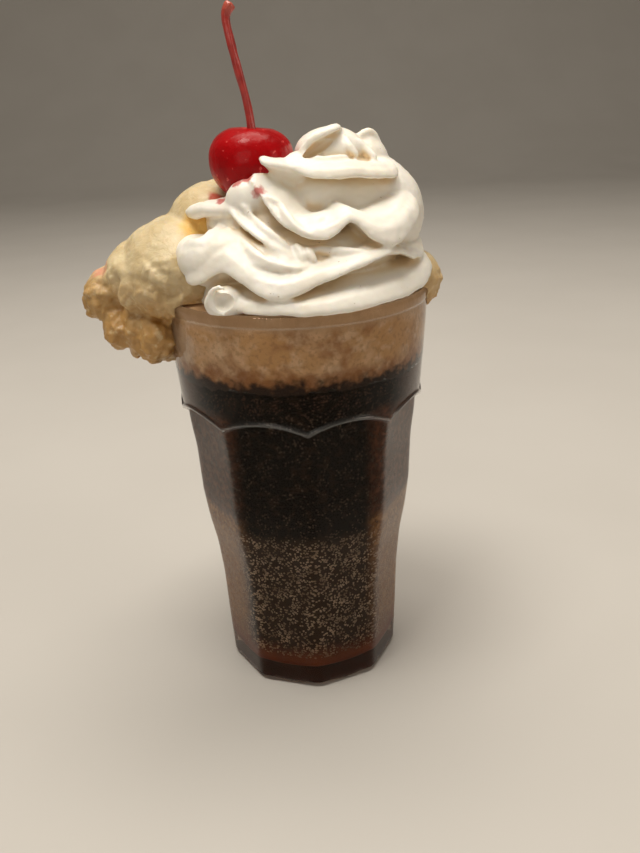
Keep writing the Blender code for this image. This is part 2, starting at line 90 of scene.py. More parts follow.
# Tumbler
GLASS_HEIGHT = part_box("glass")[1].z / MM
RIM_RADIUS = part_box("glass")[1].x / MM
RIM_WALL = 2.6
BEAD_HEIGHT = 3.4
BEAD_STEP = 0.35                # how far the wall under the bead stands back
PANELS = 9
PANEL_TURN = 3.0
PANEL_TOP_EDGE = 93.8
PANEL_TOP_CROWN = 96.9
LEDGE_HEIGHT = 1.6
PANEL_RADII = ((0.0, 29.2), (2.6, 29.4), (16.0, 30.1), (34.0, 30.8), (46.0, 32.0), (56.0, 33.9),
               (66.0, 35.2), (80.0, 35.8), (92.0, 36.9), (98.0, 37.4))
BODY_RADII = ((90.0, 37.9), (98.0, 38.2), (111.0, 39.7), (120.0, 40.35), (127.0, 40.65))
LEDGE_BEAD = 0.65               # rounded edge that catches the light over the panels
LEDGE_BEAD_WIDTH = 0.9
RIM_EDGE_GLINT = 1.0            # share of the same glint on the lower edge of the rim's bead
PANEL_EDGE_ROUNDING = 0.16
PANEL_EDGE_CUT = 0.28           # how far the upright edges stand back from the sharp corner
ARCH_FOLLOWS = (82.0, 94.0)     # levels over which the rings start to follow the arches
ARCH_LEVELS_OUT = (100.5, 110.0)        # and come level again above them
FOOT_RADIUS = 25.3
FOOT_RINGS = ((-3.0, 0.35), (-0.8, 0.0), (0.6, 0.15), (1.8, 0.75))     # (past the foot's radius, level)
OUTSIDE_START = 1.9             # level of the lowest ring with panels
HEEL_TOP = 6.0
HEEL_STEP = 1.2
LEDGE_LEVELS = (94.0, 101.0)
LEDGE_STEP = 0.25
WALL_STEP = 2.4
INSIDE_STEP = 4.0
RIM_TURN_STEPS = 12
CORNER_STEPS = 6                # rings round the corner of the inside's bottom
BASE_THICKNESS = 6.5            # less than the solid's: the drink shows nearly down to the table
INNER_RADII = ((10.5, 26.2), (34.0, 27.0), (46.0, 28.3), (58.0, 30.4), (70.0, 31.6),
               (94.0, 33.0), (100.0, 34.2), (114.0, 36.3), (128.0, 38.0), (131.0, 38.4))
GLASS_COLUMNS = PANELS * 24
INTO_WALL = 0.22                # how far the contents reach into the glass

# Contents
DRINK_LEVEL = 107.8
DRINK_STEP = 3.0
DRINK_COLUMNS = 144
FOAM_EDGE = 107.4
FOAM_EDGE_UNEVEN = 2.2
FOAM_COLUMNS = 288
FOAM_ROWS = 52
FOAM_TOP_ROUNDING = 0.9
FOAM_UNDER_SHARE = 0.2          # shares of the rows at which the underside and the side end
FOAM_SIDE_SHARE = 0.8
BUBBLE_CHAINS_LOW = 6800
BUBBLE_CHAINS_HIGH = 7000
BUBBLE_MIDDLE = 57.0            # level between the two pieces of bubbles
BUBBLE_RADII_LOW = (0.24, 0.48)
BUBBLE_RADII_HIGH = (0.20, 0.36)
BUBBLE_STEP = 0.95
BUBBLE_WANDER = 0.9             # how far, in radians, a chain turns from link to link
BUBBLE_LINKS = (1, 1, 1, 2, 2)  # lengths of the chains
BUBBLE_SINK = 0.25              # how far a bubble's centre stands inwards, as a share of its radius

# Whipped cream: each fold is a lip with a domed top and a hollow underside.
# Its stations are (azimuth, lip radius, lip level, rise) about the fold's own centre.
RIM_FOLD = dict(
    centre=(2, 0), depth=22, drop=3.0, lip=0.9, hollow=2.5,
    stations=((-50, 36, 134.5, 4), (-34, 39.6, 133.2, 5), (-18, 40.6, 132.2, 6),
              (-4, 41.0, 132.0, 6), (8, 41.8, 131.8, 6), (22, 41.6, 132.2, 7),
              (36, 40.6, 132.6, 7), (50, 39.6, 133.0, 7), (66, 39.4, 133.8, 7),
              (84, 39.0, 136.8, 6), (110, 38.0, 138.5, 6), (140, 37.5, 136.5, 7),
              (175, 38.0, 134.5, 7), (212, 37.0, 136.5, 6), (246, 34.0, 139.0, 5)))
LOWER_FOLD = dict(
    centre=(2, -2), depth=24, drop=3.5, lip=0.8, hollow=3.4,
    stations=((-88, 29, 150.0, 3), (-70, 34.6, 145.0, 6), (-57, 38.6, 140.4, 10),
              (-49, 39.8, 138.8, 12), (-41, 38.4, 140.6, 11), (-34, 37.4, 142.8, 9),
              (-26, 37.6, 140.8, 9), (-17, 38.8, 137.6, 8), (-9, 38.7, 136.4, 8),
              (0, 38.0, 137.6, 7), (10, 37.0, 139.8, 5.5), (21, 36.8, 142.0, 4.2),
              (31, 37.4, 143.8, 3.6), (41, 37.2, 145.0, 3.6), (51, 36.4, 144.2, 3.6),
              (66, 36.4, 141.4, 4), (84, 36.8, 141.0, 4), (104, 36.4, 144.0, 5),
              (134, 35.0, 147.0, 7), (172, 35.0, 144.0, 8), (206, 32.0, 148.5, 6),
              (240, 28.0, 151.0, 4)))
MIDDLE_FOLD = dict(
    centre=(8, -3), depth=20, drop=3.0, lip=0.7, hollow=3.0,
    stations=((-60, 24.0, 166.5, 1.5), (-44, 26.2, 165.0, 1.8), (-36, 26.4, 161.0, 2.0),
              (-28, 27.4, 157.4, 2.6), (-19, 28.6, 153.8, 3.0), (-9, 29.7, 151.0, 4.4),
              (1, 30.0, 150.2, 5.4), (8, 29.8, 151.4, 5.6), (16, 28.8, 154.2, 4.4),
              (22, 30.2, 152.2, 5.8), (27, 32.0, 149.2, 8), (34, 32.8, 147.6, 9),
              (44, 32.2, 148.0, 9.5), (56, 31.2, 150.2, 9), (72, 30.0, 153.6, 7),
              (90, 27.5, 156.0, 5), (120, 27.4, 158.0, 5), (150, 27.2, 157.0, 6),
              (178, 26.4, 157.0, 6), (214, 24.5, 160.5, 5), (248, 21.0, 162.0, 4)))
UPPER_FOLD = dict(
    centre=(14, -1), depth=15, drop=2.6, lip=0.7, hollow=2.4,
    stations=((-60, 18.0, 171.0, 1.6), (-44, 21.0, 169.2, 2.4), (-32, 21.5, 166.8, 3.6),
              (-19, 21.5, 165.2, 4.4), (-4, 20.7, 164.9, 4.4), (17, 20.4, 164.7, 4.4),
              (38, 20.6, 163.9, 4.4), (56, 19.8, 164.0, 4.0), (70, 17.8, 165.4, 3.0),
              (86, 15.0, 167.0, 2.0), (120, 15.5, 167.5, 3.0), (165, 16.5, 168.5, 4.0),
              (205, 16.0, 168.0, 4.0), (240, 13.0, 170.0, 3.0)))
PLEAT_ABOVE = dict(
    centre=(14, 2), depth=12, drop=2.0, lip=0.6, hollow=1.2,
    stations=((-46, 31.0, 163.0, 1.2), (-38, 32.2, 160.2, 1.6), (-31, 32.8, 155.6, 2.4),
              (-23, 33.0, 153.0, 3.0), (-14, 32.6, 153.2, 3.0), (-4, 31, 155.0, 2.4)))
PLEAT_BELOW = dict(
    centre=(6, 4), depth=12, drop=2.4, lip=0.6, hollow=1.6,
    stations=((-52, 31.5, 160.0, 1.6), (-45, 34.4, 158.8, 2.0), (-32, 36.4, 153.6, 2.4),
              (-20, 38.0, 149.4, 2.6), (-11, 38.2, 145.6, 3.0), (-2, 38.2, 142.9, 2.6),
              (6, 37.2, 142.6, 2.2)))
PLEAT_LOW = dict(
    centre=(6, 2), depth=12, drop=2.4, lip=0.6, hollow=1.6,
    stations=((-56, 34.0, 154.0, 1.6), (-44, 38.0, 150.4, 2.0), (-31, 39.2, 146.4, 2.2),
              (-20, 39.8, 144.0, 2.2), (-8, 39.2, 143.0, 2.0), (3, 37.8, 143.0, 1.8)))
FINGER = dict(
    centre=(-6, -4), depth=12, drop=2.6, lip=2.0, hollow=0.0,
    stations=((-104, 18, 155.0, 3.0), (-86, 22.8, 155.4, 3.2), (-66, 23.6, 156.2, 3.2),
              (-44, 21, 157.4, 3.2), (-20, 19, 156, 3.0)))
PEAK = dict(
    centre=(2, 0), depth=7, drop=9.0, lip=1.0, hollow=-2.0,
    stations=((-31, 22.0, 171.0, 1.4), (-26, 22.0, 170.0, 1.6), (-19, 21.0, 168.6, 2.0),
              (-9, 18.8, 167.6, 2.2), (6, 17.1, 167.2, 2.0), (16, 16.0, 167.0, 2.0)))
CROWN_FOLD = dict(
    centre=(14, -1), depth=8, drop=1.5, lip=0.6, hollow=1.6,
    stations=((-64, 16.0, 163.0, 3.0), (-50, 17.4, 165.4, 4.6), (-41, 17.2, 168.4, 5.6),
              (-36, 16.0, 171.4, 5.0), (-31, 14.2, 173.7, 3.8), (-21, 12.2, 175.1, 2.8),
              (-8, 10.4, 176.2, 2.0), (8, 8.6, 177.0, 1.2), (26, 7.4, 177.0, 0.6)))
# the two folds that run round the side that the photo hides
BACK_FOLD_LOW = dict(
    centre=(14, 2), depth=14, drop=3.2, lip=0.8, hollow=2.6,
    stations=((86, 24.0, 148.5, 1.5), (102, 26.8, 149.0, 3.0), (116, 28.2, 150.5, 5.0),
              (130, 28.6, 149.6, 5.5), (146, 27.8, 151.6, 5.0), (165, 26.6, 150.8, 5.0),
              (184, 25.6, 152.8, 4.5), (204, 24.6, 152.6, 4.0), (222, 22.4, 153.4, 2.0)))
BACK_FOLD_HIGH = dict(
    centre=(14, 2), depth=12, drop=2.8, lip=0.7, hollow=2.2,
    stations=((92, 21.0, 160.5, 1.5), (106, 24.2, 160.2, 3.0), (122, 25.2, 161.6, 4.0),
              (140, 24.8, 160.8, 4.5), (160, 23.8, 162.4, 4.0), (180, 22.6, 162.0, 3.5),
              (200, 21.6, 163.4, 3.0), (222, 19.0, 163.8, 1.5)))
FOLDS = (RIM_FOLD, LOWER_FOLD, MIDDLE_FOLD, UPPER_FOLD, PLEAT_ABOVE, PLEAT_BELOW, PLEAT_LOW,
         FINGER, PEAK, CROWN_FOLD, BACK_FOLD_LOW, BACK_FOLD_HIGH)
# (centre, radii) of the rounded masses that the folds grow from
CREAM_CORE = (
    ((2, -1, 132), (35, 35, 12)),
    ((2, -2, 144), (31, 30, 12)),
    ((17, 4, 151.5), (23.4, 22, 19.5)),
    ((10, -1, 158), (17.0, 15.5, 11)),
    ((12, -1.5, 170), (10.4, 9.6, 7.4)),
    ((21, 3.5, 167.5), (8.6, 8.0, 7.0)),
    ((22.6, 3, 170.6), (4.4, 5.0, 4.4)),
    ((-10, -10, 152), (15, 14, 9.5)),
    ((-11.5, -20, 159.5), (6.5, 4.0, 5.6)),
    ((-23, -20.5, 143.8), (9.8, 9.6, 7.8)),
    ((-17.5, -24.0, 145.0), (10.0, 7.0, 7.2)),
    ((-22.5, -22.5, 147.4), (8.0, 6.0, 4.8)),
    ((-27.0, -18.5, 145.6), (6.4, 7.0, 5.2)),
    ((-18.6, -32.8, 133.6), (6.2, 4.1, 4.9)),
)
# (centre, radii, degrees about Y with the high end towards +X) of what is scooped out
HOLLOWS = (
    ((9.4, -13.0, 172.6), (7.6, 4.2, 1.8), -30.0),      # inside the crown's roll
    ((-19.0, -38.0, 135.1), (3.4, 3.4, 2.9), 0.0),      # inside the curl
    ((-28.4, -19.5, 152.4), (6.2, 8.5, 2.7), 12.0),     # gap under the finger
)
CURL_CENTRE = (-19.6, -37.0, 135.2)
CURL_RADIUS = 3.7
CURL_THICKNESS = 0.9
CURL_POINTS = 9
CURL_ENDS = (50, 295)           # degrees round the curl, open to the right
# soft ridges on the cream: points from their upper to their lower end
RIDGES = (
    ((-6.5, -25, 161), (-4.5, -25.5, 160), (-2.5, -26, 158), (0, -29.5, 155),
     (2.5, -32, 152.5), (6, -33.5, 151)),
    ((-13.5, -24, 159), (-10, -25, 155), (-6.5, -29, 152), (-3, -30.5, 149.5), (0, -31, 148)),
    ((-14.5, -24, 152.5), (-11, -27.5, 149), (-7, -30.5, 147), (-3, -33.5, 145.5), (0, -35.5, 144)),
    ((-18, -23, 153), (-14, -27, 150), (-10.5, -32, 147), (-6.5, -35, 145), (-1.5, -36.5, 143.5),
     (2.5, -37, 143)),
    ((2.5, -31, 147), (7.5, -31, 147), (14.5, -31.5, 146), (22.5, -32.5, 145.5)),
    ((1, -30, 149), (2.5, -32, 146.5), (3, -34.5, 144)),
    ((4, -31, 148), (5, -33, 146), (6.5, -34.5, 144)),
    ((3.5, -13.5, 171.5), (6, -15, 170), (9, -15.5, 169), (13, -14.5, 169), (17, -11.5, 169.5)),
    ((16, -7, 175), (17.5, -9.5, 172), (20, -10.5, 169)),
    ((19.5, -5.5, 174), (22, -6, 171), (25.5, -8.5, 168)),
    ((18, 0, 172.5), (20.5, 0, 173.8), (23, 1, 175.2), (25.2, 2.5, 174.4), (27.4, 3, 171.5)),
)
RIDGE_RADIUS = 1.35
CREAM_VOXEL = 0.56
CREAM_HOLLOW_REACH = 9.0        # how far walls may stand for painted shade in a hollow
LIP_FLUTTER = 0.35              # small waves along the lips
GROOVE_DEPTH = 0.16             # fine ridges along each fold
GROOVE_TURNS = 26
FOLD_TOP_POINTS = 22
FOLD_LIP_POINTS = 7
FOLD_UNDER_POINTS = 11
LIP_START = 15                  # degrees at which the round lip takes over from the domed top
LIP_TURN = 20
DOME_ROOT = 0.8                 # shares of a fold's rise: at its root, and at its crown
DOME_CROWN = 1.15
DOME_REACH = -0.04              # share of the depth at which the crown pulls
FOLD_STEP = 0.9                 # along the lip, between two sections
FOLD_END = 8.0                  # length over which a fold's end sinks into the cream
RIDGE_STEP = 0.8
RIDGE_COLUMNS = 16
CREAM_SWELL = ((0.30, 6.0, 3.0), (0.10, 1.7, 5.0))      # (height, size, seed) of its unevenness
CUT_ABOVE_RIM = 0.02

# Ice cream
LEFT_SCOOP = (
    ((-34.5, -2, 137.5), (19, 21, 17.0)),
    ((-25, 4, 149.0), (13.5, 17, 14.0)),
    ((-46, -1, 135.5), (12.5, 17, 12.0)),
    ((-57.2, -2, 130.8), (8.0, 10, 8.8)),
    ((-50.5, -3, 122.0), (9.6, 13, 9.6)),
    ((-42.5, -4, 120.0), (8.6, 15, 9.6)),
    ((-22, 5, 155.5), (9, 12, 8.0)),
)
RIGHT_SCOOP = (
    ((34, 2, 132.0), (11.4, 14, 9.0)),
    ((30, 14, 133), (12, 12, 8)),
)
SCOOP_VOXEL = 0.5
SCOOP_HOLLOW_REACH = 6.0
SCOOP_CLEARANCE = 0.12          # between a scoop and the glass that it hangs over
CUTTER_BOTTOM = 80.0
CUTTER_COLUMNS = 96
# (height, size, seed) of the lumps parted by cracks
CRAG_LUMPS = ((2.7, 6.4, 6.0), (2.0, 3.1, 8.0), (1.5, 1.5, 10.0))
CRAG_LUMP_LIMIT = 0.4
CRAG_TOP = 138.0                # level over which the scoop turns smooth
CRAG_STRETCH = (0.45, 0.45, 1.5)        # the pulled ripples are long round the scoop, short in height
# upright crease that parts the outer lobe of the left scoop
CREASE_X = -53.2
CREASE_TOP = 142.0
CREASE_WIDTH = 1.6
CREASE_DEPTH = 2.6

# Shaping
BALL_SEGMENTS = 48
SEAM_GAP = 0.004                # doubles nearer than this are merged
SLICE_SNAP = 0.001
HOLLOW_RAYS = 14                # directions looked at from each vertex
HOLLOW_RAY_START = 0.25         # how far above the skin they start
GOLDEN_ANGLE = 2.4              # radians, spreads the directions evenly
LOWEST_LEAN = 0.97              # keeps the lowest directions just above the surface

# Cherry
CHERRY_CENTRE = (-10.7, -7.0, 169.3)
CHERRY_RADIUS = 12.3
CHERRY_CROWN = 9.2
CHERRY_DIMPLE = 2.4
CHERRY_TILT = 4.0
CHERRY_BOTTOM_SHARE = 0.96
CHERRY_SHOULDER = 0.72          # powers under 1 that fill out the shoulder and flatten the crown
CHERRY_FLATNESS = 0.92
CHERRY_DIMPLE_RADIUS = 3.0
STEM_ROUTE = ((-10.1, -7.0, 176.3), (-10.4, -7.0, 181.0), (-11.4, -7.0, 187.0), (-12.8, -7.0, 193.6),
              (-14.2, -7.0, 200.0), (-15.1, -7.0, 205.4), (-14.8, -7.0, 208.0), (-13.2, -7.0, 210.2))
STEM_RADIUS = 1.15
STEM_TIP_RADIUS = 1.75
STEM_STEP = 0.5
STEM_COLUMNS = 24
STEM_TIP_LENGTH = 2.6
STEM_ROOT_FLARE = 0.35
STEM_ROOT_LENGTH = 2.0
CHERRY_COLUMNS = 120
CHERRY_ROWS = 80

# Colours that more than one layer uses
# painted light: brown for light coming through the drink's sides
SIDE_LIGHT_BROWN = (0.085, 0.029, 0.013)
RED_SYRUP = (0.46, 0.025, 0.02)

# Stains and spots of painted shade: (place, reach, raggedness)
STAIN_CORE = 0.45               # share of its reach that a spot fills whole
# a paler patch on the foam's upper left
PALE_FOAM_PATCH = ((-33, -18, 119), 9.0, 8.0)
SYRUP_SPOTS = (((-11.0, -21.0, 165.5), 2.3, 4.0), ((-18.8, -18.5, 160.2), 2.8, 4.0),
               ((-14.0, -21.0, 164.0), 1.8, 4.0), ((-8.4, -24.0, 162.4), 2.4, 4.0))
SYRUP_ON_ICE = ((-21.6, -8.0, 159.5), 3.5, 3.0)
# painted shade on the ice cream where the cream overhangs the gap under the finger
GAP_SHADE = ((-26.8, -12.5, 152), 7.5, 3.0)
# painted shade on the ice cream's outer lobe
OUTER_LOBE_SHADE = ((-60, -6, 131), 10.0, 4.0)
PINK_SPOT = ((-59.5, -6.0, 140.5), 4.5, 6.0)


# Tools for shaping

def only(obj):
    bpy.ops.object.select_all(action="DESELECT")
    obj.select_set(True)
    bpy.context.view_layer.objects.active = obj


def just_added(name):
    obj = bpy.context.active_object
    obj.name = name
    obj.data.name = name
    return obj


def apply_modifier(obj, modifier):
    only(obj)
    bpy.ops.object.modifier_apply(modifier=modifier.name)


def between(stations, place):
    """Value at a place, on straight lines through a list of (place, value) pairs."""
    if place <= stations[0][0]:
        return stations[0][1]
    for (low, low_value), (high, high_value) in zip(stations, stations[1:]):
        if place <= high:
            share = (place - low) / (high - low)
            return low_value + (high_value - low_value) * share
    return stations[-1][1]


def smooth_step(low, high, value):
    share = min(1.0, max(0.0, (value - low) / (high - low)))
    return share * share * (3 - 2 * share)


def smooth_path(points, step):
    """Catmull-Rom curve through the points, sampled about every step."""
    path = []
    last = len(points) - 1
    for i in range(last):
        before = points[max(i - 1, 0)]
        start, end = points[i], points[i + 1]
        after = points[min(i + 2, last)]
        count = max(1, round((end - start).length / step))
        for k in range(count):
            t = k / count
            path.append(0.5 * (2 * start + (end - before) * t
                               + (2 * before - 5 * start + 4 * end - after) * t ** 2
                               + (3 * start - before - 3 * end + after) * t ** 3))
    path.append(points[last])
    return path


def close_and_turn_out(obj):
    """Merges the seam and the poles, then points all faces outwards."""
    only(obj)
    bpy.ops.object.mode_set(mode="EDIT")
    bpy.ops.mesh.select_all(action="SELECT")
    bpy.ops.mesh.remove_doubles(threshold=SEAM_GAP * MM)
    bpy.ops.mesh.normals_make_consistent(inside=False)
    bpy.ops.object.mode_set(mode="OBJECT")


def wrapped_grid(name, around, along, place):
    """A grid bent into a closed skin: place(u, v) puts each of its corners, in millimetres."""
    bpy.ops.object.select_all(action="DESELECT")
    bpy.ops.mesh.primitive_grid_add(x_subdivisions=around, y_subdivisions=along, size=2)
    obj = just_added(name)
    for vertex in obj.data.vertices:
        vertex.co = place(0.5 * (vertex.co.x + 1), 0.5 * (vertex.co.y + 1)) * MM
    close_and_turn_out(obj)
    return obj


def ball(name, centre, radii):
    bpy.ops.object.select_all(action="DESELECT")
    bpy.ops.mesh.primitive_uv_sphere_add(segments=BALL_SEGMENTS, ring_count=BALL_SEGMENTS // 2,
                                         radius=1, location=Vector(centre) * MM)
    obj = just_added(name)
    obj.scale = Vector(radii) * MM
    bpy.ops.object.transform_apply(location=True, rotation=True, scale=True)
    return obj


def join(name, pieces):
    bpy.ops.object.select_all(action="DESELECT")
    for piece in pieces:
        piece.select_set(True)
    bpy.context.view_layer.objects.active = pieces[0]
    bpy.ops.object.join()
    return just_added(name)


def fuse(obj, voxel, smoothing):
    """One skin over closed pieces that cross, relaxed so many rounds to soften its creases."""
    remesh = obj.modifiers.new("skin", "REMESH")
    remesh.mode = "VOXEL"
    remesh.voxel_size = voxel * MM
    apply_modifier(obj, remesh)
    if smoothing:
        relax(obj, smoothing)


def relax(obj, rounds):
    smooth = obj.modifiers.new("relax", "SMOOTH")
    smooth.factor = 0.5
    smooth.iterations = rounds
    apply_modifier(obj, smooth)


def take_away(obj, cutter):
    boolean = obj.modifiers.new("cut", "BOOLEAN")
    boolean.operation = "DIFFERENCE"
    boolean.solver = "EXACT"
    boolean.object = cutter
    apply_modifier(obj, boolean)
    bpy.data.objects.remove(cutter, do_unlink=True)


def slice_off_below(obj, level):
    only(obj)
    bpy.ops.object.mode_set(mode="EDIT")
    bpy.ops.mesh.select_all(action="SELECT")
    bpy.ops.mesh.bisect(plane_co=(0, 0, level * MM), plane_no=(0, 0, 1), use_fill=True,
                        clear_inner=True, threshold=SLICE_SNAP * MM)
    bpy.ops.object.mode_set(mode="OBJECT")


def drop_scraps(obj):
    """Keeps only the shell that holds the highest point."""
    only(obj)
    bpy.ops.object.mode_set(mode="EDIT")
    bpy.ops.mesh.select_all(action="DESELECT")
    bpy.ops.object.mode_set(mode="OBJECT")
    max(obj.data.vertices, key=lambda vertex: vertex.co.z).select = True
    bpy.ops.object.mode_set(mode="EDIT")
    bpy.ops.mesh.select_linked()
    bpy.ops.mesh.select_all(action="INVERT")
    bpy.ops.mesh.delete(type="VERT")
    bpy.ops.object.mode_set(mode="OBJECT")


def lift_along_normals(obj, lift):
    """Moves each vertex out by lift(place in millimetres, normal), also in millimetres."""
    normals = [vertex.normal.copy() for vertex in obj.data.vertices]
    for vertex, normal in zip(obj.data.vertices, normals):
        vertex.co += normal * lift(vertex.co / MM, normal) * MM


def directions_over(normal, count):
    """Directions spread over the half-space that a surface faces."""
    side = normal.orthogonal().normalized()
    other = normal.cross(side)
    spread = []
    for k in range(count):
        lean = math.sqrt((k + 0.5) / count)
        turn = GOLDEN_ANGLE * k
        spread.append(normal * math.sqrt(1 - LOWEST_LEAN * lean * lean)
                      + (side * math.cos(turn) + other * math.sin(turn)) * lean)
    return spread


def mark_hollows(obj, reach):
    """Stores how enclosed each vertex is as "hollow", for painted shade: 0 in the open, 1 deep inside.

    A wall counts the more, the nearer it stands within the reach, in millimetres.
    """
    mesh = obj.data
    tree = BVHTree.FromPolygons([vertex.co for vertex in mesh.vertices],
                                [face.vertices for face in mesh.polygons])
    enclosed = []
    for vertex in mesh.vertices:
        start = vertex.co + vertex.normal * HOLLOW_RAY_START * MM
        hits = 0.0
        for direction in directions_over(vertex.normal, HOLLOW_RAYS):
            distance = tree.ray_cast(start, direction, reach * MM)[3]
            if distance is not None:
                hits += 1.0 - distance / (reach * MM)
        enclosed.append(hits / HOLLOW_RAYS)
    for _ in range(2):
        enclosed = averaged(mesh, enclosed)
    attribute = mesh.attributes.new("hollow", "FLOAT", "POINT")
    attribute.data.foreach_set("value", enclosed)


def averaged(mesh, values):
    """Each vertex takes half of its value from its neighbours."""
    total = [0.0] * len(values)
    count = [0] * len(values)
    for edge in mesh.edges:
        first, second = edge.vertices
        total[first] += values[second]
        total[second] += values[first]
        count[first] += 1
        count[second] += 1
    return [0.5 * value + 0.5 * whole / max(1, number)
            for value, whole, number in zip(values, total, count)]


def round_noise(place, size, seed=0.0):
    return noise.noise(place / size + Vector((seed, 1.7 * seed, 0.3 * seed)))


def smooth_shade(obj, angle=180):
    only(obj)
    if angle < 180:
        bpy.ops.object.shade_smooth_by_angle(angle=math.radians(angle))
    else:
        bpy.ops.object.shade_smooth()


def finish_piece(obj, material, slot, *nodes):
    obj.data.materials.clear()
    obj.data.materials.append(material)
    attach(obj, "root")
    if nodes:
        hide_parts(*nodes)


# Tumbler

def panel_offset(azimuth):
    width = 360.0 / PANELS
    return (azimuth - PANEL_TURN) % width - width / 2


def arch_level(azimuth):
    share = panel_offset(azimuth) / (180.0 / PANELS)
    return PANEL_TOP_CROWN - (PANEL_TOP_CROWN - PANEL_TOP_EDGE) * share ** 2


def panel_radius(azimuth, level):
    """Distance from the axis to the flat panel, with its upright edges slightly rounded."""
    edge = between(PANEL_RADII, level)
    half = math.radians(180.0 / PANELS)
    flat = edge * math.cos(half) / math.cos(math.radians(panel_offset(azimuth)))
    limit = edge - PANEL_EDGE_CUT
    soft = PANEL_EDGE_ROUNDING
    return -soft * math.log(math.exp(-(flat - limit) / soft) + 1.0) + limit


def outer_radius(azimuth, level):
    """Distance from the axis to the outside, with every arch counted as high as its crown."""
    body = between(BODY_RADII, level)
    over = level - PANEL_TOP_CROWN - LEDGE_HEIGHT
    bead = LEDGE_BEAD * math.exp(-(over / LEDGE_BEAD_WIDTH) ** 4)
    ledge = smooth_step(PANEL_TOP_CROWN, PANEL_TOP_CROWN + LEDGE_HEIGHT, level)
    return panel_radius(azimuth, level) * (1 - ledge) + body * ledge + bead


def arch_drop(azimuth, level):
    """How far a ring dips at this azimuth to follow the arched panel tops."""
    follows = smooth_step(*ARCH_FOLLOWS, level) * (1 - smooth_step(*ARCH_LEVELS_OUT, level))
    return (PANEL_TOP_CROWN - arch_level(azimuth)) * follows


def glass_profile():
    """(radius, level) rings from the middle of the underside, up, over the rim and down inside.

    A radius of 0 marks the rings that outer_radius shapes.
    """
    rings = [(FOOT_RADIUS + past, level) for past, level in FOOT_RINGS]
    level = OUTSIDE_START
    while level < GLASS_HEIGHT - BEAD_HEIGHT - 1.0:
        rings.append((0.0, level))
        if level < HEEL_TOP:
            level += HEEL_STEP
        elif LEDGE_LEVELS[0] < level < LEDGE_LEVELS[1]:
            level += LEDGE_STEP
        else:
            level += WALL_STEP
    neck = RIM_RADIUS - BEAD_STEP
    rings.append((neck, GLASS_HEIGHT - BEAD_HEIGHT - 0.5))
    rings.append((neck + 0.06, GLASS_HEIGHT - BEAD_HEIGHT))
    rings.append((RIM_RADIUS - 0.08, GLASS_HEIGHT - BEAD_HEIGHT + 0.5))
    half = RIM_WALL / 2
    for step in range(RIM_TURN_STEPS + 1):
        turn = math.radians(180 * step / RIM_TURN_STEPS)
        rings.append((RIM_RADIUS - half + half * math.cos(turn),
                      GLASS_HEIGHT - half + half * math.sin(turn)))
    level = GLASS_HEIGHT - 3.0
    while level > INNER_RADII[0][0]:
        rings.append((between(INNER_RADII, level), level))
        level -= INSIDE_STEP
    corner = INNER_RADII[0][0] - BASE_THICKNESS
    for step in range(1, CORNER_STEPS):
        turn = math.radians(90 * step / CORNER_STEPS)
        rings.append((INNER_RADII[0][1] - corner * (1 - math.cos(turn)),
                      BASE_THICKNESS + corner * (1 - math.sin(turn))))
    rings.append((INNER_RADII[0][1] - corner - 3.0, BASE_THICKNESS))
    return rings


def turn_up(name, rings, columns):
    """A circle extruded from ring to ring, closed at both ends and pointed outwards."""
    bpy.ops.object.select_all(action="DESELECT")
    bpy.ops.mesh.primitive_circle_add(vertices=columns, radius=rings[0][0] * MM,
                                      location=(0, 0, rings[0][1] * MM), fill_type="NGON")
    obj = just_added(name)
    bpy.ops.object.transform_apply(location=True, rotation=True, scale=True)
    bpy.ops.object.mode_set(mode="EDIT")
    bpy.ops.mesh.select_all(action="SELECT")
    radius, level = rings[0][0], rings[0][1]
    for next_radius, next_level in rings[1:]:
        rise = (next_level - level) * MM
        bpy.ops.mesh.extrude_region_move(TRANSFORM_OT_translate={"value": (0, 0, rise)})
        growth = next_radius / radius
        bpy.ops.transform.resize(value=(growth, growth, 1), center_override=(0, 0, next_level * MM))
        radius, level = next_radius, next_level
    bpy.ops.object.mode_set(mode="OBJECT")
    close_and_turn_out(obj)
    return obj


def make_tumbler(material):
    """The attribute "ledge" marks the two edges that catch the light."""
    shaped = {round(level, 3) for radius, level in glass_profile() if radius == 0.0}
    rings = [(radius or between(BODY_RADII, level), level) for radius, level in glass_profile()]
    obj = turn_up("tumbler", rings, GLASS_COLUMNS)
    obj.data.transform(Matrix.Rotation(math.radians(PANEL_TURN), 4, "Z"))
    edges = []
    for vertex in obj.data.vertices:
        place = vertex.co / MM
        radius = math.hypot(place.x, place.y)
        edges.append(0.0)
        if round(place.z, 3) in shaped and radius > between(INNER_RADII, place.z) + 1.5:
            azimuth = math.degrees(math.atan2(place.x, -place.y))
            grown = outer_radius(azimuth, place.z) / radius
            vertex.co.x *= grown
            vertex.co.y *= grown
            vertex.co.z -= arch_drop(azimuth, place.z) * MM
            over = (place.z - PANEL_TOP_CROWN - LEDGE_HEIGHT) / LEDGE_BEAD_WIDTH
            edges[-1] = math.exp(-(over / 1.2) ** 4)
        elif abs(place.z - GLASS_HEIGHT + BEAD_HEIGHT) < 0.1 and radius > RIM_RADIUS - 1.5:
            edges[-1] = RIM_EDGE_GLINT
    mark = obj.data.attributes.new("ledge", "FLOAT", "POINT")
    mark.data.foreach_set("value", edges)
    smooth_shade(obj, 40)
    finish_piece(obj, material, "glass", "glass")


# Drink, foam and bubbles

def inner_radius(level):
    return between(INNER_RADII, level) + INTO_WALL


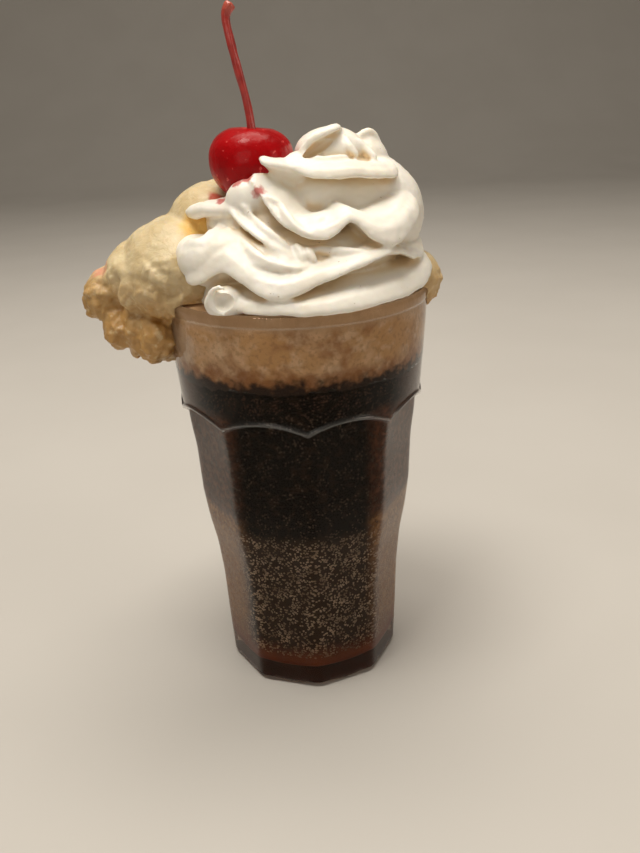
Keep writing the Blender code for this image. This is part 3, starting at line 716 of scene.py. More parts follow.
def make_drink(material):
    corner = INNER_RADII[0][0] - BASE_THICKNESS
    floor = BASE_THICKNESS - INTO_WALL
    rings = []
    for step in range(CORNER_STEPS + 1):
        turn = math.radians(90 - 90 * step / CORNER_STEPS)
        rings.append((inner_radius(0) - corner * (1 - math.cos(turn)),
                      floor + corner * (1 - math.sin(turn))))
    level = INNER_RADII[0][0] + DRINK_STEP
    while level < DRINK_LEVEL:
        rings.append((inner_radius(level), level))
        level += DRINK_STEP
    rings.append((inner_radius(DRINK_LEVEL), DRINK_LEVEL))
    obj = turn_up("drink_body", rings, DRINK_COLUMNS)
    smooth_shade(obj, 50)
    finish_piece(obj, material, "drink", "drink")


def foam_edge(azimuth):
    """Level of the foam's ragged lower edge."""
    turn = math.radians(azimuth)
    round_the_glass = Vector((math.sin(turn), math.cos(turn), 0.0))
    return (FOAM_EDGE + FOAM_EDGE_UNEVEN * noise.noise(round_the_glass * 3.1)
            + 0.45 * FOAM_EDGE_UNEVEN * noise.noise(round_the_glass * 14.0)
            + 0.3 * FOAM_EDGE_UNEVEN * noise.noise(round_the_glass * 38.0))


def make_foam(material):
    """A plug whose side reaches into the wall, with a ragged lower edge and a rounded top edge."""
    top = GLASS_HEIGHT
    shoulder = top - FOAM_TOP_ROUNDING

    def place(u, v):
        azimuth = 360.0 * u
        turn = math.radians(azimuth)
        edge = foam_edge(azimuth)
        if v <= FOAM_UNDER_SHARE:
            radius = inner_radius(edge) * (0.6 + 2.0 * v) if v > 0 else 0.0
            level = edge + 1.2 * (1 - v / FOAM_UNDER_SHARE) if v > 0 else FOAM_EDGE + 1.5
        elif v <= FOAM_SIDE_SHARE:
            share = (v - FOAM_UNDER_SHARE) / (FOAM_SIDE_SHARE - FOAM_UNDER_SHARE)
            level = edge + (shoulder - edge) * share
            radius = inner_radius(level) + 0.06
        elif v < 0.999:
            share = (v - FOAM_SIDE_SHARE) / (1 - FOAM_SIDE_SHARE)
            radius = (inner_radius(top) - 0.3) * (1 - share)
            level = shoulder + FOAM_TOP_ROUNDING * math.sin(min(1.0, 3 * share) * math.pi / 2)
        else:
            radius = 0.0
            level = top
        return Vector((radius * math.sin(turn), -radius * math.cos(turn), level))

    obj = wrapped_grid("foam_body", FOAM_COLUMNS, FOAM_ROWS, place)
    smooth_shade(obj, 60)
    finish_piece(obj, material, "foam", "foam")


def bubble_density(level):
    """Share of bubble chains kept: thick low down, thin half-way up, thick again under the foam."""
    low = 1.0 - smooth_step(55.0, 61.0, level)
    high = smooth_step(96.0, 107.0, level)
    return min(1.0, 0.3 + 0.7 * low + 0.6 * high)


def make_bubbles(name, chains, levels, radii, seed, material):
    """Fine gas bubbles that cling to the inner wall in short wandering chains."""
    draw = random.Random(seed)
    bpy.ops.object.select_all(action="DESELECT")
    bpy.ops.mesh.primitive_ico_sphere_add(subdivisions=1, radius=MM)
    bubble = just_added("one_bubble")
    corners = [vertex.co.copy() for vertex in bubble.data.vertices]
    faces = [tuple(face.vertices) for face in bubble.data.polygons]
    bpy.data.objects.remove(bubble, do_unlink=True)
    vertices = []
    skins = []
    for _ in range(chains):
        azimuth = draw.uniform(0, 360)
        level = draw.uniform(*levels)
        if draw.random() > bubble_density(level):
            continue
        heading = draw.uniform(0, 2 * math.pi)
        for _ in range(draw.choice(BUBBLE_LINKS)):
            radius = draw.triangular(*radii)
            reach = inner_radius(level) - BUBBLE_SINK * radius
            turn = math.radians(azimuth)
            centre = Vector((reach * math.sin(turn), -reach * math.cos(turn), level)) * MM
            first = len(vertices)
            vertices += [centre + corner * radius for corner in corners]
            skins += [tuple(first + index for index in face) for face in faces]
            heading += draw.uniform(-BUBBLE_WANDER, BUBBLE_WANDER)
            azimuth += math.degrees(BUBBLE_STEP * math.cos(heading) / reach)
            level += BUBBLE_STEP * math.sin(heading)
            if not levels[0] < level < levels[1]:
                break
    mesh = bpy.data.meshes.new(name)
    mesh.from_pydata(vertices, [], skins)
    obj = bpy.data.objects.new(name, mesh)
    bpy.context.scene.collection.objects.link(obj)
    smooth_shade(obj)
    finish_piece(obj, material, "drink")


# Whipped cream

def fold_section(fold, rise):
    """Outline of a fold as (outward, up) steps from its lip: domed top, round lip, hollow underside."""
    depth, drop, lip, hollow = fold["depth"], fold["drop"], fold["lip"], fold["hollow"]
    lip_start = math.radians(LIP_START)
    outline = []
    for k in range(FOLD_TOP_POINTS):
        t = k / FOLD_TOP_POINTS
        out = ((1 - t) ** 2 * -depth + 2 * t * (1 - t) * DOME_REACH * depth
               + t * t * lip * math.cos(lip_start))
        up = ((1 - t) ** 2 * rise * DOME_ROOT + 2 * t * (1 - t) * rise * DOME_CROWN
              + t * t * lip * math.sin(lip_start))
        groove = GROOVE_DEPTH * math.sin(GROOVE_TURNS * t) * math.sin(math.pi * t)
        outline.append((out + groove, up + groove * 0.6))
    for k in range(FOLD_LIP_POINTS):
        turn = lip_start - math.radians(LIP_TURN * k)
        outline.append((lip * math.cos(turn), lip * math.sin(turn)))
    for k in range(1, FOLD_UNDER_POINTS + 1):
        t = k / FOLD_UNDER_POINTS
        outline.append((-2 * t * (1 - t) * 0.5 * depth - t * t * depth,
                        -lip * (1 - t) ** 2 + 2 * t * (1 - t) * hollow - t * t * drop))
    return outline


def flutter(place, seed):
    wave = round_noise(place, 4.5, seed) + 0.5 * round_noise(place, 1.9, seed)
    return Vector((0, 0, LIP_FLUTTER * wave))


def make_fold(fold):
    """A fold swept along its lip; both ends sink into the cream."""
    cx, cy = fold["centre"]
    lips = []
    for azimuth, radius, level, rise in fold["stations"]:
        turn = math.radians(azimuth)
        lips.append(Vector((cx + radius * math.sin(turn), cy - radius * math.cos(turn), level, rise)))
    path = smooth_path(lips, FOLD_STEP)
    sections = [fold_section(fold, station.w) for station in path]
    around = len(sections[0])
    taper = min(0.16 * len(path), FOLD_END / FOLD_STEP)

    def place(u, v):
        row = round(v * (len(path) - 1))
        lip = path[row].to_3d()
        outward = Vector((lip.x - cx, lip.y - cy, 0)).normalized()
        near_end = min(row, len(path) - 1 - row) / taper
        size = math.sqrt(1 - (1 - min(near_end, 1.0)) ** 2)
        out, up = sections[row][round(u * around) % around]
        root = lip - outward * fold["depth"]
        reach = out + fold["depth"]
        near_lip = max(0.0, 1.0 + out / 8.0)
        wave = flutter(lip, cx + cy) + outward * 0.6 * flutter(lip + Vector((9, 9, 9)), cx).z
        return root + (outward * reach + Vector((0, 0, up))) * size + wave * near_lip * size

    return wrapped_grid("fold", around, len(path) - 1, place)


def make_curl():
    """The C-shaped tail of the lowest fold, facing outwards."""
    centre = Vector(CURL_CENTRE)
    right = Vector((-centre.y, centre.x, 0)).normalized()
    path = []
    for step in range(CURL_POINTS):
        turn = math.radians(CURL_ENDS[0] + (CURL_ENDS[1] - CURL_ENDS[0]) * step / (CURL_POINTS - 1))
        path.append(centre + right * CURL_RADIUS * math.cos(turn)
                    + Vector((0, 0, CURL_RADIUS * math.sin(turn))))
    return make_ridge(path, CURL_THICKNESS)


def make_ridge(points, thickness=RIDGE_RADIUS):
    """A round strand, half sunk in the cream, thin at both ends."""
    path = smooth_path([Vector(point) for point in points], RIDGE_STEP)

    def place(u, v):
        row = round(v * (len(path) - 1))
        ahead = (path[min(row + 1, len(path) - 1)] - path[max(row - 1, 0)]).normalized()
        side = ahead.cross(Vector((path[row].x, path[row].y, 0))).normalized()
        out = side.cross(ahead)
        radius = thickness * math.sin(math.pi * v) ** 0.5 if 0 < v < 1 else 0.0
        turn = 2 * math.pi * u
        return path[row] + (side * math.cos(turn) + out * math.sin(turn)) * radius

    return wrapped_grid("ridge", RIDGE_COLUMNS, len(path) - 1, place)


def hollow_cutter(centre, radii, slant):
    obj = ball("hollow", (0, 0, 0), radii)
    turn = Matrix.Rotation(math.radians(slant), 4, "Y")
    obj.data.transform(Matrix.Translation(Vector(centre) * MM) @ turn)
    return obj


def cream_swell(place, normal):
    return sum(height * round_noise(place, size, seed) for height, size, seed in CREAM_SWELL)


def make_cream(material):
    voxel = CREAM_VOXEL
    pieces = [ball("mass", centre, radii) for centre, radii in CREAM_CORE]
    pieces += [make_fold(fold) for fold in FOLDS]
    pieces += [make_ridge(points) for points in RIDGES]
    pieces.append(make_curl())
    obj = join("swirl", pieces)
    fuse(obj, voxel, 1)
    for hollow in HOLLOWS:
        take_away(obj, hollow_cutter(*hollow))
    relax(obj, 2)
    lift_along_normals(obj, cream_swell)
    slice_off_below(obj, GLASS_HEIGHT + CUT_ABOVE_RIM)
    drop_scraps(obj)
    mark_hollows(obj, CREAM_HOLLOW_REACH)
    smooth_shade(obj, 80)
    finish_piece(obj, material, "cream", "whipped_cream")


# Ice cream

def filled_glass():
    """The upper half of the glass with its contents as one body, a little larger, as a cutter."""
    grow = SCOOP_CLEARANCE
    rings = [(RIM_RADIUS - 6.0, CUTTER_BOTTOM), (outer_radius(PANEL_TURN, 88.0) + grow, CUTTER_BOTTOM)]
    level = 97.0
    while level < 128.0:
        rings.append((between(BODY_RADII, level) + grow, level))
        level += 3.0
    rings += [(RIM_RADIUS + grow, 129.0), (RIM_RADIUS + grow, GLASS_HEIGHT - 0.8),
              (RIM_RADIUS - 1.2 + grow, GLASS_HEIGHT + grow)]
    return turn_up("filled_glass", rings, CUTTER_COLUMNS)


def scoop_crags(place, normal):
    """Rounded lumps parted by cracks low down, and a smoother pulled slope on top."""
    rough = smooth_step(-0.5, 0.5, round_noise(place, 16.0, 11.0) - 0.6 * normal.z
                        + 0.05 * (CRAG_TOP - place.z))
    drag = Vector([value * share for value, share in zip(place, CRAG_STRETCH)])
    swell = 1.5 * round_noise(place, 9.0, 2.0) + 0.7 * round_noise(drag, 4.2, 4.0)
    lumps = sum(height * min(abs(round_noise(place, size, seed)), CRAG_LUMP_LIMIT)
                for height, size, seed in CRAG_LUMPS)
    away = (place.x - CREASE_X + 1.6 * round_noise(place, 6.0, 12.0)) / CREASE_WIDTH
    crease = CREASE_DEPTH * math.exp(-away * away) * smooth_step(CREASE_TOP, CREASE_TOP - 5.0, place.z)
    return (0.5 + 0.3 * rough) * swell + rough * (lumps - 0.8) + 0.1 * (1.0 - rough) * lumps - crease


def make_scoop(name, lobes, material, node):
    voxel = SCOOP_VOXEL
    obj = join(name, [ball("lobe", centre, radii) for centre, radii in lobes])
    fuse(obj, voxel, 6)
    lift_along_normals(obj, scoop_crags)
    fuse(obj, voxel, 0)
    take_away(obj, filled_glass())
    mark_hollows(obj, SCOOP_HOLLOW_REACH)
    smooth_shade(obj, 80)
    finish_piece(obj, material, "ice_cream", node)


# Cherry and stem

def make_cherry(material):
    """A round fruit with a flattened crown and a dimple for the stem."""
    tilt = Matrix.Rotation(math.radians(CHERRY_TILT), 3, "Y")

    def place(u, v):
        turn = math.radians(-90 + 180 * v)
        azimuth = 2 * math.pi * u
        if v < 0.5:
            radius = CHERRY_RADIUS * math.cos(turn)
            height = CHERRY_RADIUS * CHERRY_BOTTOM_SHARE * math.sin(turn)
        else:
            radius = CHERRY_RADIUS * max(0.0, math.cos(turn)) ** CHERRY_SHOULDER
            height = CHERRY_CROWN * max(0.0, math.sin(turn)) ** CHERRY_FLATNESS
        if v > 0.5:
            height -= CHERRY_DIMPLE * math.exp(-(radius / CHERRY_DIMPLE_RADIUS) ** 2)
        spot = Vector((radius * math.cos(azimuth), radius * math.sin(azimuth), height))
        dent = 0.22 * round_noise(spot, 7.0, 1.0) + 0.05 * round_noise(spot, 2.0, 2.0)
        return Vector(CHERRY_CENTRE) + tilt @ (spot * (1 + dent / CHERRY_RADIUS))

    obj = wrapped_grid("cherry_fruit", CHERRY_COLUMNS, CHERRY_ROWS, place)
    smooth_shade(obj)
    finish_piece(obj, material, "cherry", "cherry")


def make_stem(material):
    """A round stalk, thicker at its tip and where it leaves the cherry, with low ribs."""
    path = smooth_path([Vector(point) for point in STEM_ROUTE], STEM_STEP)

    def place(u, v):
        row = round(v * (len(path) - 1))
        ahead = path[min(row + 1, len(path) - 1)] - path[max(row - 1, 0)]
        ahead.normalize()
        side = Vector((0, 1, 0))
        front = ahead.cross(side)
        left = (len(path) - 1 - row) * STEM_STEP
        thicker = STEM_TIP_RADIUS - STEM_RADIUS
        radius = STEM_RADIUS + thicker * math.exp(-(left / STEM_TIP_LENGTH) ** 2)
        radius += STEM_ROOT_FLARE * math.exp(-(row * STEM_STEP / STEM_ROOT_LENGTH) ** 2)
        radius *= 1 + 0.10 * round_noise(path[row], 3.0, 1.0)
        if row in (0, len(path) - 1):
            radius = 0.0
        elif row in (1, len(path) - 2):
            radius *= 0.82
        around = 2 * math.pi * u
        ridge = 1 + 0.05 * math.cos(5 * around + 0.2 * row)
        return path[row] + (front * math.cos(around) + side * math.sin(around)) * radius * ridge

    obj = wrapped_grid("cherry_stalk", STEM_COLUMNS, len(path) - 1, place)
    smooth_shade(obj, 60)
    finish_piece(obj, material, "stem", "cherry_stem")


# Shader effects shared by the materials

def new_group(name, inputs, outputs):
    group = bpy.data.node_groups.new(name, "ShaderNodeTree")
    for label, kind, value in inputs:
        socket = group.interface.new_socket(name=label, in_out="INPUT", socket_type=kind)
        socket.default_value = value
    for label, kind in outputs:
        group.interface.new_socket(name=label, in_out="OUTPUT", socket_type=kind)
    return group, group.nodes.new("NodeGroupInput"), group.nodes.new("NodeGroupOutput")


def node(tree, kind, **values):
    """A node with its properties and its inputs set by name."""
    made = tree.nodes.new(kind)
    for key, value in values.items():
        if key in made.bl_rna.properties:
            setattr(made, key, value)
        else:
            made.inputs[key.replace("_", " ")].default_value = value
    return made


def math_node(tree, operation, first, second):
    made = tree.nodes.new("ShaderNodeMath")
    made.operation = operation
    for socket, value in zip(made.inputs, (first, second)):
        if hasattr(value, "is_output"):
            tree.links.new(value, socket)
        else:
            socket.default_value = value
    return made.outputs[0]


def ramp_to_mask(group, low, high, value, out, **range_of_mask):
    """Leads a value to the group's mask, softly between its two given levels."""
    ramp = node(group, "ShaderNodeMapRange", interpolation_type="SMOOTHSTEP", **range_of_mask)
    group.links.new(value, ramp.inputs["Value"])
    group.links.new(low, ramp.inputs["From Min"])
    group.links.new(high, ramp.inputs["From Max"])
    group.links.new(ramp.outputs["Result"], out.inputs["Mask"])


def made_ragged(group, value, cloud, amount):
    """Shifts a value by a noise that swings both ways."""
    swing = math_node(group, "SUBTRACT", cloud.outputs["Fac"], 0.5)
    return math_node(group, "ADD", value, math_node(group, "MULTIPLY", swing, amount))


def blotches_group():
    """Soft patches: a mask that runs from 0 to 1 between two levels of a noise."""
    group, given, out = new_group(
        "blotches",
        (("Scale", "NodeSocketFloat", 100.0), ("Detail", "NodeSocketFloat", 3.0),
         ("From", "NodeSocketFloat", 0.4), ("To", "NodeSocketFloat", 0.6),
         ("Warp", "NodeSocketFloat", 0.0)),
        (("Mask", "NodeSocketFloat"),))
    where = group.nodes.new("ShaderNodeTexCoord")
    cloud = group.nodes.new("ShaderNodeTexNoise")
    group.links.new(where.outputs["Object"], cloud.inputs["Vector"])
    group.links.new(given.outputs["Scale"], cloud.inputs["Scale"])
    group.links.new(given.outputs["Detail"], cloud.inputs["Detail"])
    group.links.new(given.outputs["Warp"], cloud.inputs["Distortion"])
    ramp_to_mask(group, given.outputs["From"], given.outputs["To"], cloud.outputs["Fac"], out)
    return group


def stain_and_shade_spot_group():
    """A ragged spot round a place, for stains and painted shade: 1 at its middle, 0 past its reach."""
    group, given, out = new_group(
        "stain_and_shade_spot",
        (("Place", "NodeSocketVector", (0.0, 0.0, 0.0)), ("Reach", "NodeSocketFloat", 0.003),
         ("Ragged", "NodeSocketFloat", 0.002)),
        (("Mask", "NodeSocketFloat"),))
    where = group.nodes.new("ShaderNodeTexCoord")
    cloud = node(group, "ShaderNodeTexNoise", Scale=420.0, Detail=2.0)
    group.links.new(where.outputs["Object"], cloud.inputs["Vector"])
    apart = node(group, "ShaderNodeVectorMath", operation="DISTANCE")
    group.links.new(where.outputs["Object"], apart.inputs[0])
    group.links.new(given.outputs["Place"], apart.inputs[1])
    ragged = made_ragged(group, apart.outputs["Value"], cloud, given.outputs["Ragged"])
    inner = math_node(group, "MULTIPLY", given.outputs["Reach"], STAIN_CORE)
    ramp_to_mask(group, inner, given.outputs["Reach"], ragged, out, To_Min=1.0, To_Max=0.0)
    return group


def level_group():
    """Height above the table as a mask between two levels, in metres, made ragged by a noise."""
    group, given, out = new_group(
        "level",
        (("Low", "NodeSocketFloat", 0.0), ("High", "NodeSocketFloat", 0.1),
         ("Ragged", "NodeSocketFloat", 0.004), ("Scale", "NodeSocketFloat", 200.0)),
        (("Mask", "NodeSocketFloat"),))
    where = group.nodes.new("ShaderNodeTexCoord")
    split = group.nodes.new("ShaderNodeSeparateXYZ")
    cloud = node(group, "ShaderNodeTexNoise", Detail=4.0)
    group.links.new(where.outputs["Object"], split.inputs["Vector"])
    group.links.new(where.outputs["Object"], cloud.inputs["Vector"])
    group.links.new(given.outputs["Scale"], cloud.inputs["Scale"])
    ragged = made_ragged(group, split.outputs["Z"], cloud, given.outputs["Ragged"])
    ramp_to_mask(group, given.outputs["Low"], given.outputs["High"], ragged, out)
    return group


def sides_group():
    """0 over the front and back, 1 over the left and right, between two distances in metres."""
    group, given, out = new_group(
        "sides", (("Low", "NodeSocketFloat", 0.01), ("High", "NodeSocketFloat", 0.02)),
        (("Mask", "NodeSocketFloat"),))
    where = group.nodes.new("ShaderNodeTexCoord")
    split = group.nodes.new("ShaderNodeSeparateXYZ")
    group.links.new(where.outputs["Object"], split.inputs["Vector"])
    across = math_node(group, "ABSOLUTE", split.outputs["X"], 0.0)
    ramp_to_mask(group, given.outputs["Low"], given.outputs["High"], across, out)
    return group


SIDES = sides_group()
BLOTCHES = blotches_group()
STAIN_AND_SHADE_SPOT = stain_and_shade_spot_group()
LEVEL = level_group()


class Finish:
    """A material with its shader, and short ways to add colour layers and relief."""

    def __init__(self, name, colour, **constants):
        self.material = bpy.data.materials.new(name)
        self.material.use_nodes = True
        self.tree = self.material.node_tree
        self.shader = self.tree.nodes["Principled BSDF"]
        for key, value in constants.items():
            self.shader.inputs[key.replace("_", " ")].default_value = value
        first = node(self.tree, "ShaderNodeRGB")
        first.outputs[0].default_value = (*colour, 1.0)
        self.colour = first.outputs[0]
        self.height = None

    def use(self, group, **values):
        made = self.tree.nodes.new("ShaderNodeGroup")
        made.node_tree = group
        for key, value in values.items():
            made.inputs[key].default_value = value
        return made.outputs[0]

    def stain_and_shade_spot(self, place, reach, ragged):
        return self.use(STAIN_AND_SHADE_SPOT, Place=[value * MM for value in place], Reach=reach * MM,
                        Ragged=ragged * MM)

    def both(self, first, second):
        return math_node(self.tree, "MULTIPLY", first, second)

    def attribute(self, name):
        made = node(self.tree, "ShaderNodeAttribute", attribute_name=name)
        return made.outputs["Fac"]

    def hollows(self, low, high):
        """Mask of the hollows marked in the mesh, from a shallow one to a deep one, for painted shade."""
        ramp = node(self.tree, "ShaderNodeMapRange", interpolation_type="SMOOTHSTEP",
                    From_Min=low, From_Max=high)
        self.tree.links.new(self.attribute("hollow"), ramp.inputs["Value"])
        return ramp.outputs["Result"]

    def layer(self, mask, colour, strength=1.0):
        mix = node(self.tree, "ShaderNodeMix", data_type="RGBA")
        factor = math_node(self.tree, "MULTIPLY", mask, strength)
        self.tree.links.new(factor, mix.inputs["Factor"])
        self.tree.links.new(self.colour, mix.inputs["A"])
        mix.inputs["B"].default_value = (*colour, 1.0)
        self.colour = mix.outputs["Result"]

    def roughness(self, mask, low, high):
        ramp = node(self.tree, "ShaderNodeMapRange", To_Min=low, To_Max=high)
        self.tree.links.new(mask, ramp.inputs["Value"])
        self.tree.links.new(ramp.outputs["Result"], self.shader.inputs["Roughness"])

    def coat(self, mask):
        self.tree.links.new(mask, self.shader.inputs["Coat Weight"])

    def relief(self, mask, strength, distance):
        """Adds a bump, its distance in millimetres, on top of the ones before it."""
        bump = node(self.tree, "ShaderNodeBump", Strength=strength, Distance=distance * MM)
        self.tree.links.new(mask, bump.inputs["Height"])
        if self.height:
            self.tree.links.new(self.height, bump.inputs["Normal"])
        self.height = bump.outputs["Normal"]

    def done(self):
        self.tree.links.new(self.colour, self.shader.inputs["Base Color"])
        if self.height:
            self.tree.links.new(self.height, self.shader.inputs["Normal"])
        return self.material


def tumbler_glass():
    """Clear pressed glass: slow waves, faint dried spots, coated edges over the panels, and painted light:
    an amber foot.
    """
    finish = Finish("tumbler_glass", (0.99, 0.985, 0.975), IOR=1.5,
                    Transmission_Weight=1.0, Coat_Roughness=0.28, Coat_IOR=1.9)
    finish.shader.inputs["Specular Tint"].default_value = (0.22, 0.18, 0.14, 1.0)
    finish.layer(finish.use(BLOTCHES, Scale=60.0, From=0.45, To=0.7), (0.975, 0.96, 0.94), 0.8)
    # painted light: the foot tinted amber for the drink's reddish light in the thick base
    finish.layer(finish.use(LEVEL, Low=0.024, High=0.008, Ragged=0.003), (0.62, 0.36, 0.22), 0.9)
    finish.coat(finish.attribute("ledge"))
    spots = finish.use(BLOTCHES, Scale=520.0, Detail=1.0, From=0.68, To=0.74)
    finish.roughness(spots, 0.012, 0.12)
    finish.relief(finish.use(BLOTCHES, Scale=55.0, Detail=1.0, From=0.2, To=0.8), 0.35, 0.25)
    return finish.done()


def dark_drink():
    """Dark fizzy drink: near black in front, with painted light brown at its sides and low down."""
    finish = Finish("dark_drink", (0.0022, 0.0010, 0.0007), Roughness=0.35, IOR=1.33,
                    Specular_IOR_Level=0.02)
    finish.layer(finish.use(BLOTCHES, Scale=420.0, Detail=3.0, From=0.50, To=0.66),
                 (0.020, 0.010, 0.006), 0.7)
    # painted reflection: lighter brown low down
    finish.layer(finish.use(LEVEL, Low=0.060, High=0.055, Ragged=0.005), (0.040, 0.021, 0.012), 0.9)
    # painted light: brown at the sides, where light comes through the drink
    finish.layer(finish.use(SIDES, Low=0.026, High=0.034), SIDE_LIGHT_BROWN, 0.85)
    # painted light: a narrower side strip, brown, cloudy, and golden low down
    under_ledge = finish.use(LEVEL, Low=0.101, High=0.096, Ragged=0.003)
    side = finish.both(finish.use(SIDES, Low=0.0175, High=0.0245), under_ledge)
    finish.layer(side, SIDE_LIGHT_BROWN, 0.85)
    clouds = finish.use(BLOTCHES, Scale=520.0, Detail=6.0, From=0.42, To=0.66, Warp=0.6)
    finish.layer(finish.both(side, clouds), (0.19, 0.065, 0.030), 0.7)
    low_side_light = finish.both(side, finish.use(LEVEL, Low=0.064, High=0.060, Ragged=0.004))
    finish.layer(low_side_light, (0.34, 0.145, 0.042), 0.75)
    finish.layer(finish.both(low_side_light, clouds), (0.50, 0.27, 0.10), 0.6)
    # painted light: reddish brown at the bottom, where light comes up through the base
    finish.layer(finish.use(LEVEL, Low=0.017, High=0.008, Ragged=0.004), (0.26, 0.085, 0.035), 0.9)
    finish.relief(finish.use(BLOTCHES, Scale=600.0, Detail=2.0, From=0.4, To=0.7), 0.2, 0.2)
    return finish.done()


def bubble_skin():
    """Gas bubbles: grey-brown low down, painted shade darker half-way up, painted light brown at the sides,
    reddish under the foam.
    """
    finish = Finish("bubble_skin", (0.50, 0.36, 0.245), Roughness=0.6, Specular_IOR_Level=0.1)
    finish.layer(finish.use(BLOTCHES, Scale=260.0, From=0.35, To=0.65), (0.19, 0.12, 0.075), 0.9)
    # painted light: brown at the sides
    finish.layer(finish.use(SIDES, Low=0.018, High=0.023), (0.33, 0.155, 0.05), 0.75)
    # painted shade: darker half-way up
    finish.layer(finish.use(LEVEL, Low=0.054, High=0.060, Ragged=0.006), (0.034, 0.019, 0.012), 0.9)
    finish.layer(finish.use(LEVEL, Low=0.096, High=0.104, Ragged=0.006), (0.055, 0.020, 0.010), 0.8)
    return finish.done()


def tan_foam():
    """Mottled foam: brown ground, pale curds, dark veins, and dark streaks at its lower edge."""
    finish = Finish("tan_foam", (0.70, 0.40, 0.175), Roughness=0.55, Specular_IOR_Level=0.15)
    finish.layer(finish.use(BLOTCHES, Scale=60.0, Detail=6.0, From=0.42, To=0.66, Warp=0.5),
                 (0.88, 0.62, 0.38), 0.85)
    finish.layer(finish.use(BLOTCHES, Scale=95.0, Detail=7.0, From=0.46, To=0.66, Warp=0.6),
                 (0.42, 0.18, 0.065), 0.8)
    finish.layer(finish.use(BLOTCHES, Scale=230.0, Detail=6.0, From=0.48, To=0.72),
                 (0.95, 0.74, 0.50), 0.6)
    finish.layer(finish.use(BLOTCHES, Scale=900.0, Detail=2.0, From=0.50, To=0.66),
                 (0.40, 0.19, 0.08), 0.35)
    finish.layer(finish.stain_and_shade_spot(*PALE_FOAM_PATCH), (0.74, 0.57, 0.42), 0.6)
    finish.layer(finish.use(LEVEL, Low=0.1245, High=0.1275, Ragged=0.003), (0.66, 0.43, 0.25), 0.8)
    finish.layer(finish.use(LEVEL, Low=0.1170, High=0.1105, Ragged=0.016, Scale=220.0),
                 (0.33, 0.125, 0.040), 0.85)
    finish.layer(finish.use(LEVEL, Low=0.1122, High=0.1088, Ragged=0.009, Scale=380.0),
                 (0.012, 0.004, 0.002), 0.97)
    finish.relief(finish.use(BLOTCHES, Scale=700.0, Detail=2.0, From=0.4, To=0.6), 0.3, 0.15)
    return finish.done()


def whipped_cream():
    """Satin cream, with painted warm beige shade in its hollows, a few pinholes as dark specks of painted
    shade, and red syrup beside the cherry.
    """
    finish = Finish("whipped_cream", (0.87, 0.835, 0.76), Roughness=0.38, Subsurface_Weight=0.25,
                    Subsurface_Scale=0.0016, Specular_IOR_Level=0.45)
    finish.shader.inputs["Subsurface Radius"].default_value = (1.0, 0.75, 0.45)
    finish.layer(finish.use(BLOTCHES, Scale=70.0, Detail=4.0, From=0.42, To=0.68), (0.83, 0.775, 0.67), 0.8)
    # painted shade: warm beige in the hollows
    finish.layer(finish.hollows(0.10, 0.55), (0.78, 0.63, 0.42), 0.95)
    for spot in SYRUP_SPOTS:
        finish.layer(finish.stain_and_shade_spot(*spot), RED_SYRUP, 0.8)
    # painted shade: dark specks for a few pinholes
    finish.layer(finish.use(BLOTCHES, Scale=900.0, Detail=1.0, From=0.775, To=0.80),
                 (0.35, 0.25, 0.15), 0.6)
    finish.roughness(finish.use(BLOTCHES, Scale=120.0, From=0.3, To=0.7), 0.30, 0.48)
    finish.relief(finish.use(BLOTCHES, Scale=420.0, Detail=3.0, From=0.3, To=0.7), 0.25, 0.12)
    finish.relief(finish.use(BLOTCHES, Scale=1500.0, Detail=2.0, From=0.35, To=0.65), 0.12, 0.05)
    return finish.done()


def vanilla():
    """Ice cream: pale pulled skin, painted highlight flecks, painted golden shade low down, in hollows and
    under the cream, and a pink stained patch.
    """
    finish = Finish("vanilla", (0.64, 0.525, 0.32), Roughness=0.45, Subsurface_Weight=0.25,
                    Subsurface_Scale=0.0018, Specular_IOR_Level=0.4)
    finish.shader.inputs["Subsurface Radius"].default_value = (1.0, 0.7, 0.3)
    finish.layer(finish.use(BLOTCHES, Scale=110.0, Detail=5.0, From=0.45, To=0.65, Warp=0.5),
                 (0.58, 0.44, 0.235), 0.7)
    # painted shade: darker golden low down
    finish.layer(finish.use(LEVEL, Low=0.146, High=0.120, Ragged=0.016), (0.44, 0.225, 0.055), 0.85)
    # painted shade: darker golden on the outer left lobe
    finish.layer(finish.stain_and_shade_spot(*OUTER_LOBE_SHADE), (0.40, 0.215, 0.055), 0.7)
    # painted highlight: pale flecks
    finish.layer(finish.use(BLOTCHES, Scale=380.0, Detail=4.0, From=0.55, To=0.7), (0.74, 0.60, 0.38), 0.5)
    # painted shade: golden in the hollows
    finish.layer(finish.hollows(0.08, 0.36), (0.36, 0.17, 0.035), 0.9)
    # painted shade: golden in the gap under the finger, where the cream overhangs
    finish.layer(finish.stain_and_shade_spot(*GAP_SHADE), (0.85, 0.52, 0.13), 0.9)
    finish.layer(finish.stain_and_shade_spot(*PINK_SPOT), (0.66, 0.22, 0.15), 0.6)
    finish.layer(finish.stain_and_shade_spot(*SYRUP_ON_ICE), RED_SYRUP, 0.8)
    finish.roughness(finish.use(BLOTCHES, Scale=200.0, From=0.3, To=0.7), 0.3, 0.6)
    finish.relief(finish.use(BLOTCHES, Scale=550.0, Detail=5.0, From=0.3, To=0.7, Warp=0.5), 0.35, 0.3)
    finish.relief(finish.use(BLOTCHES, Scale=2200.0, Detail=2.0, From=0.3, To=0.7), 0.2, 0.06)
    return finish.done()


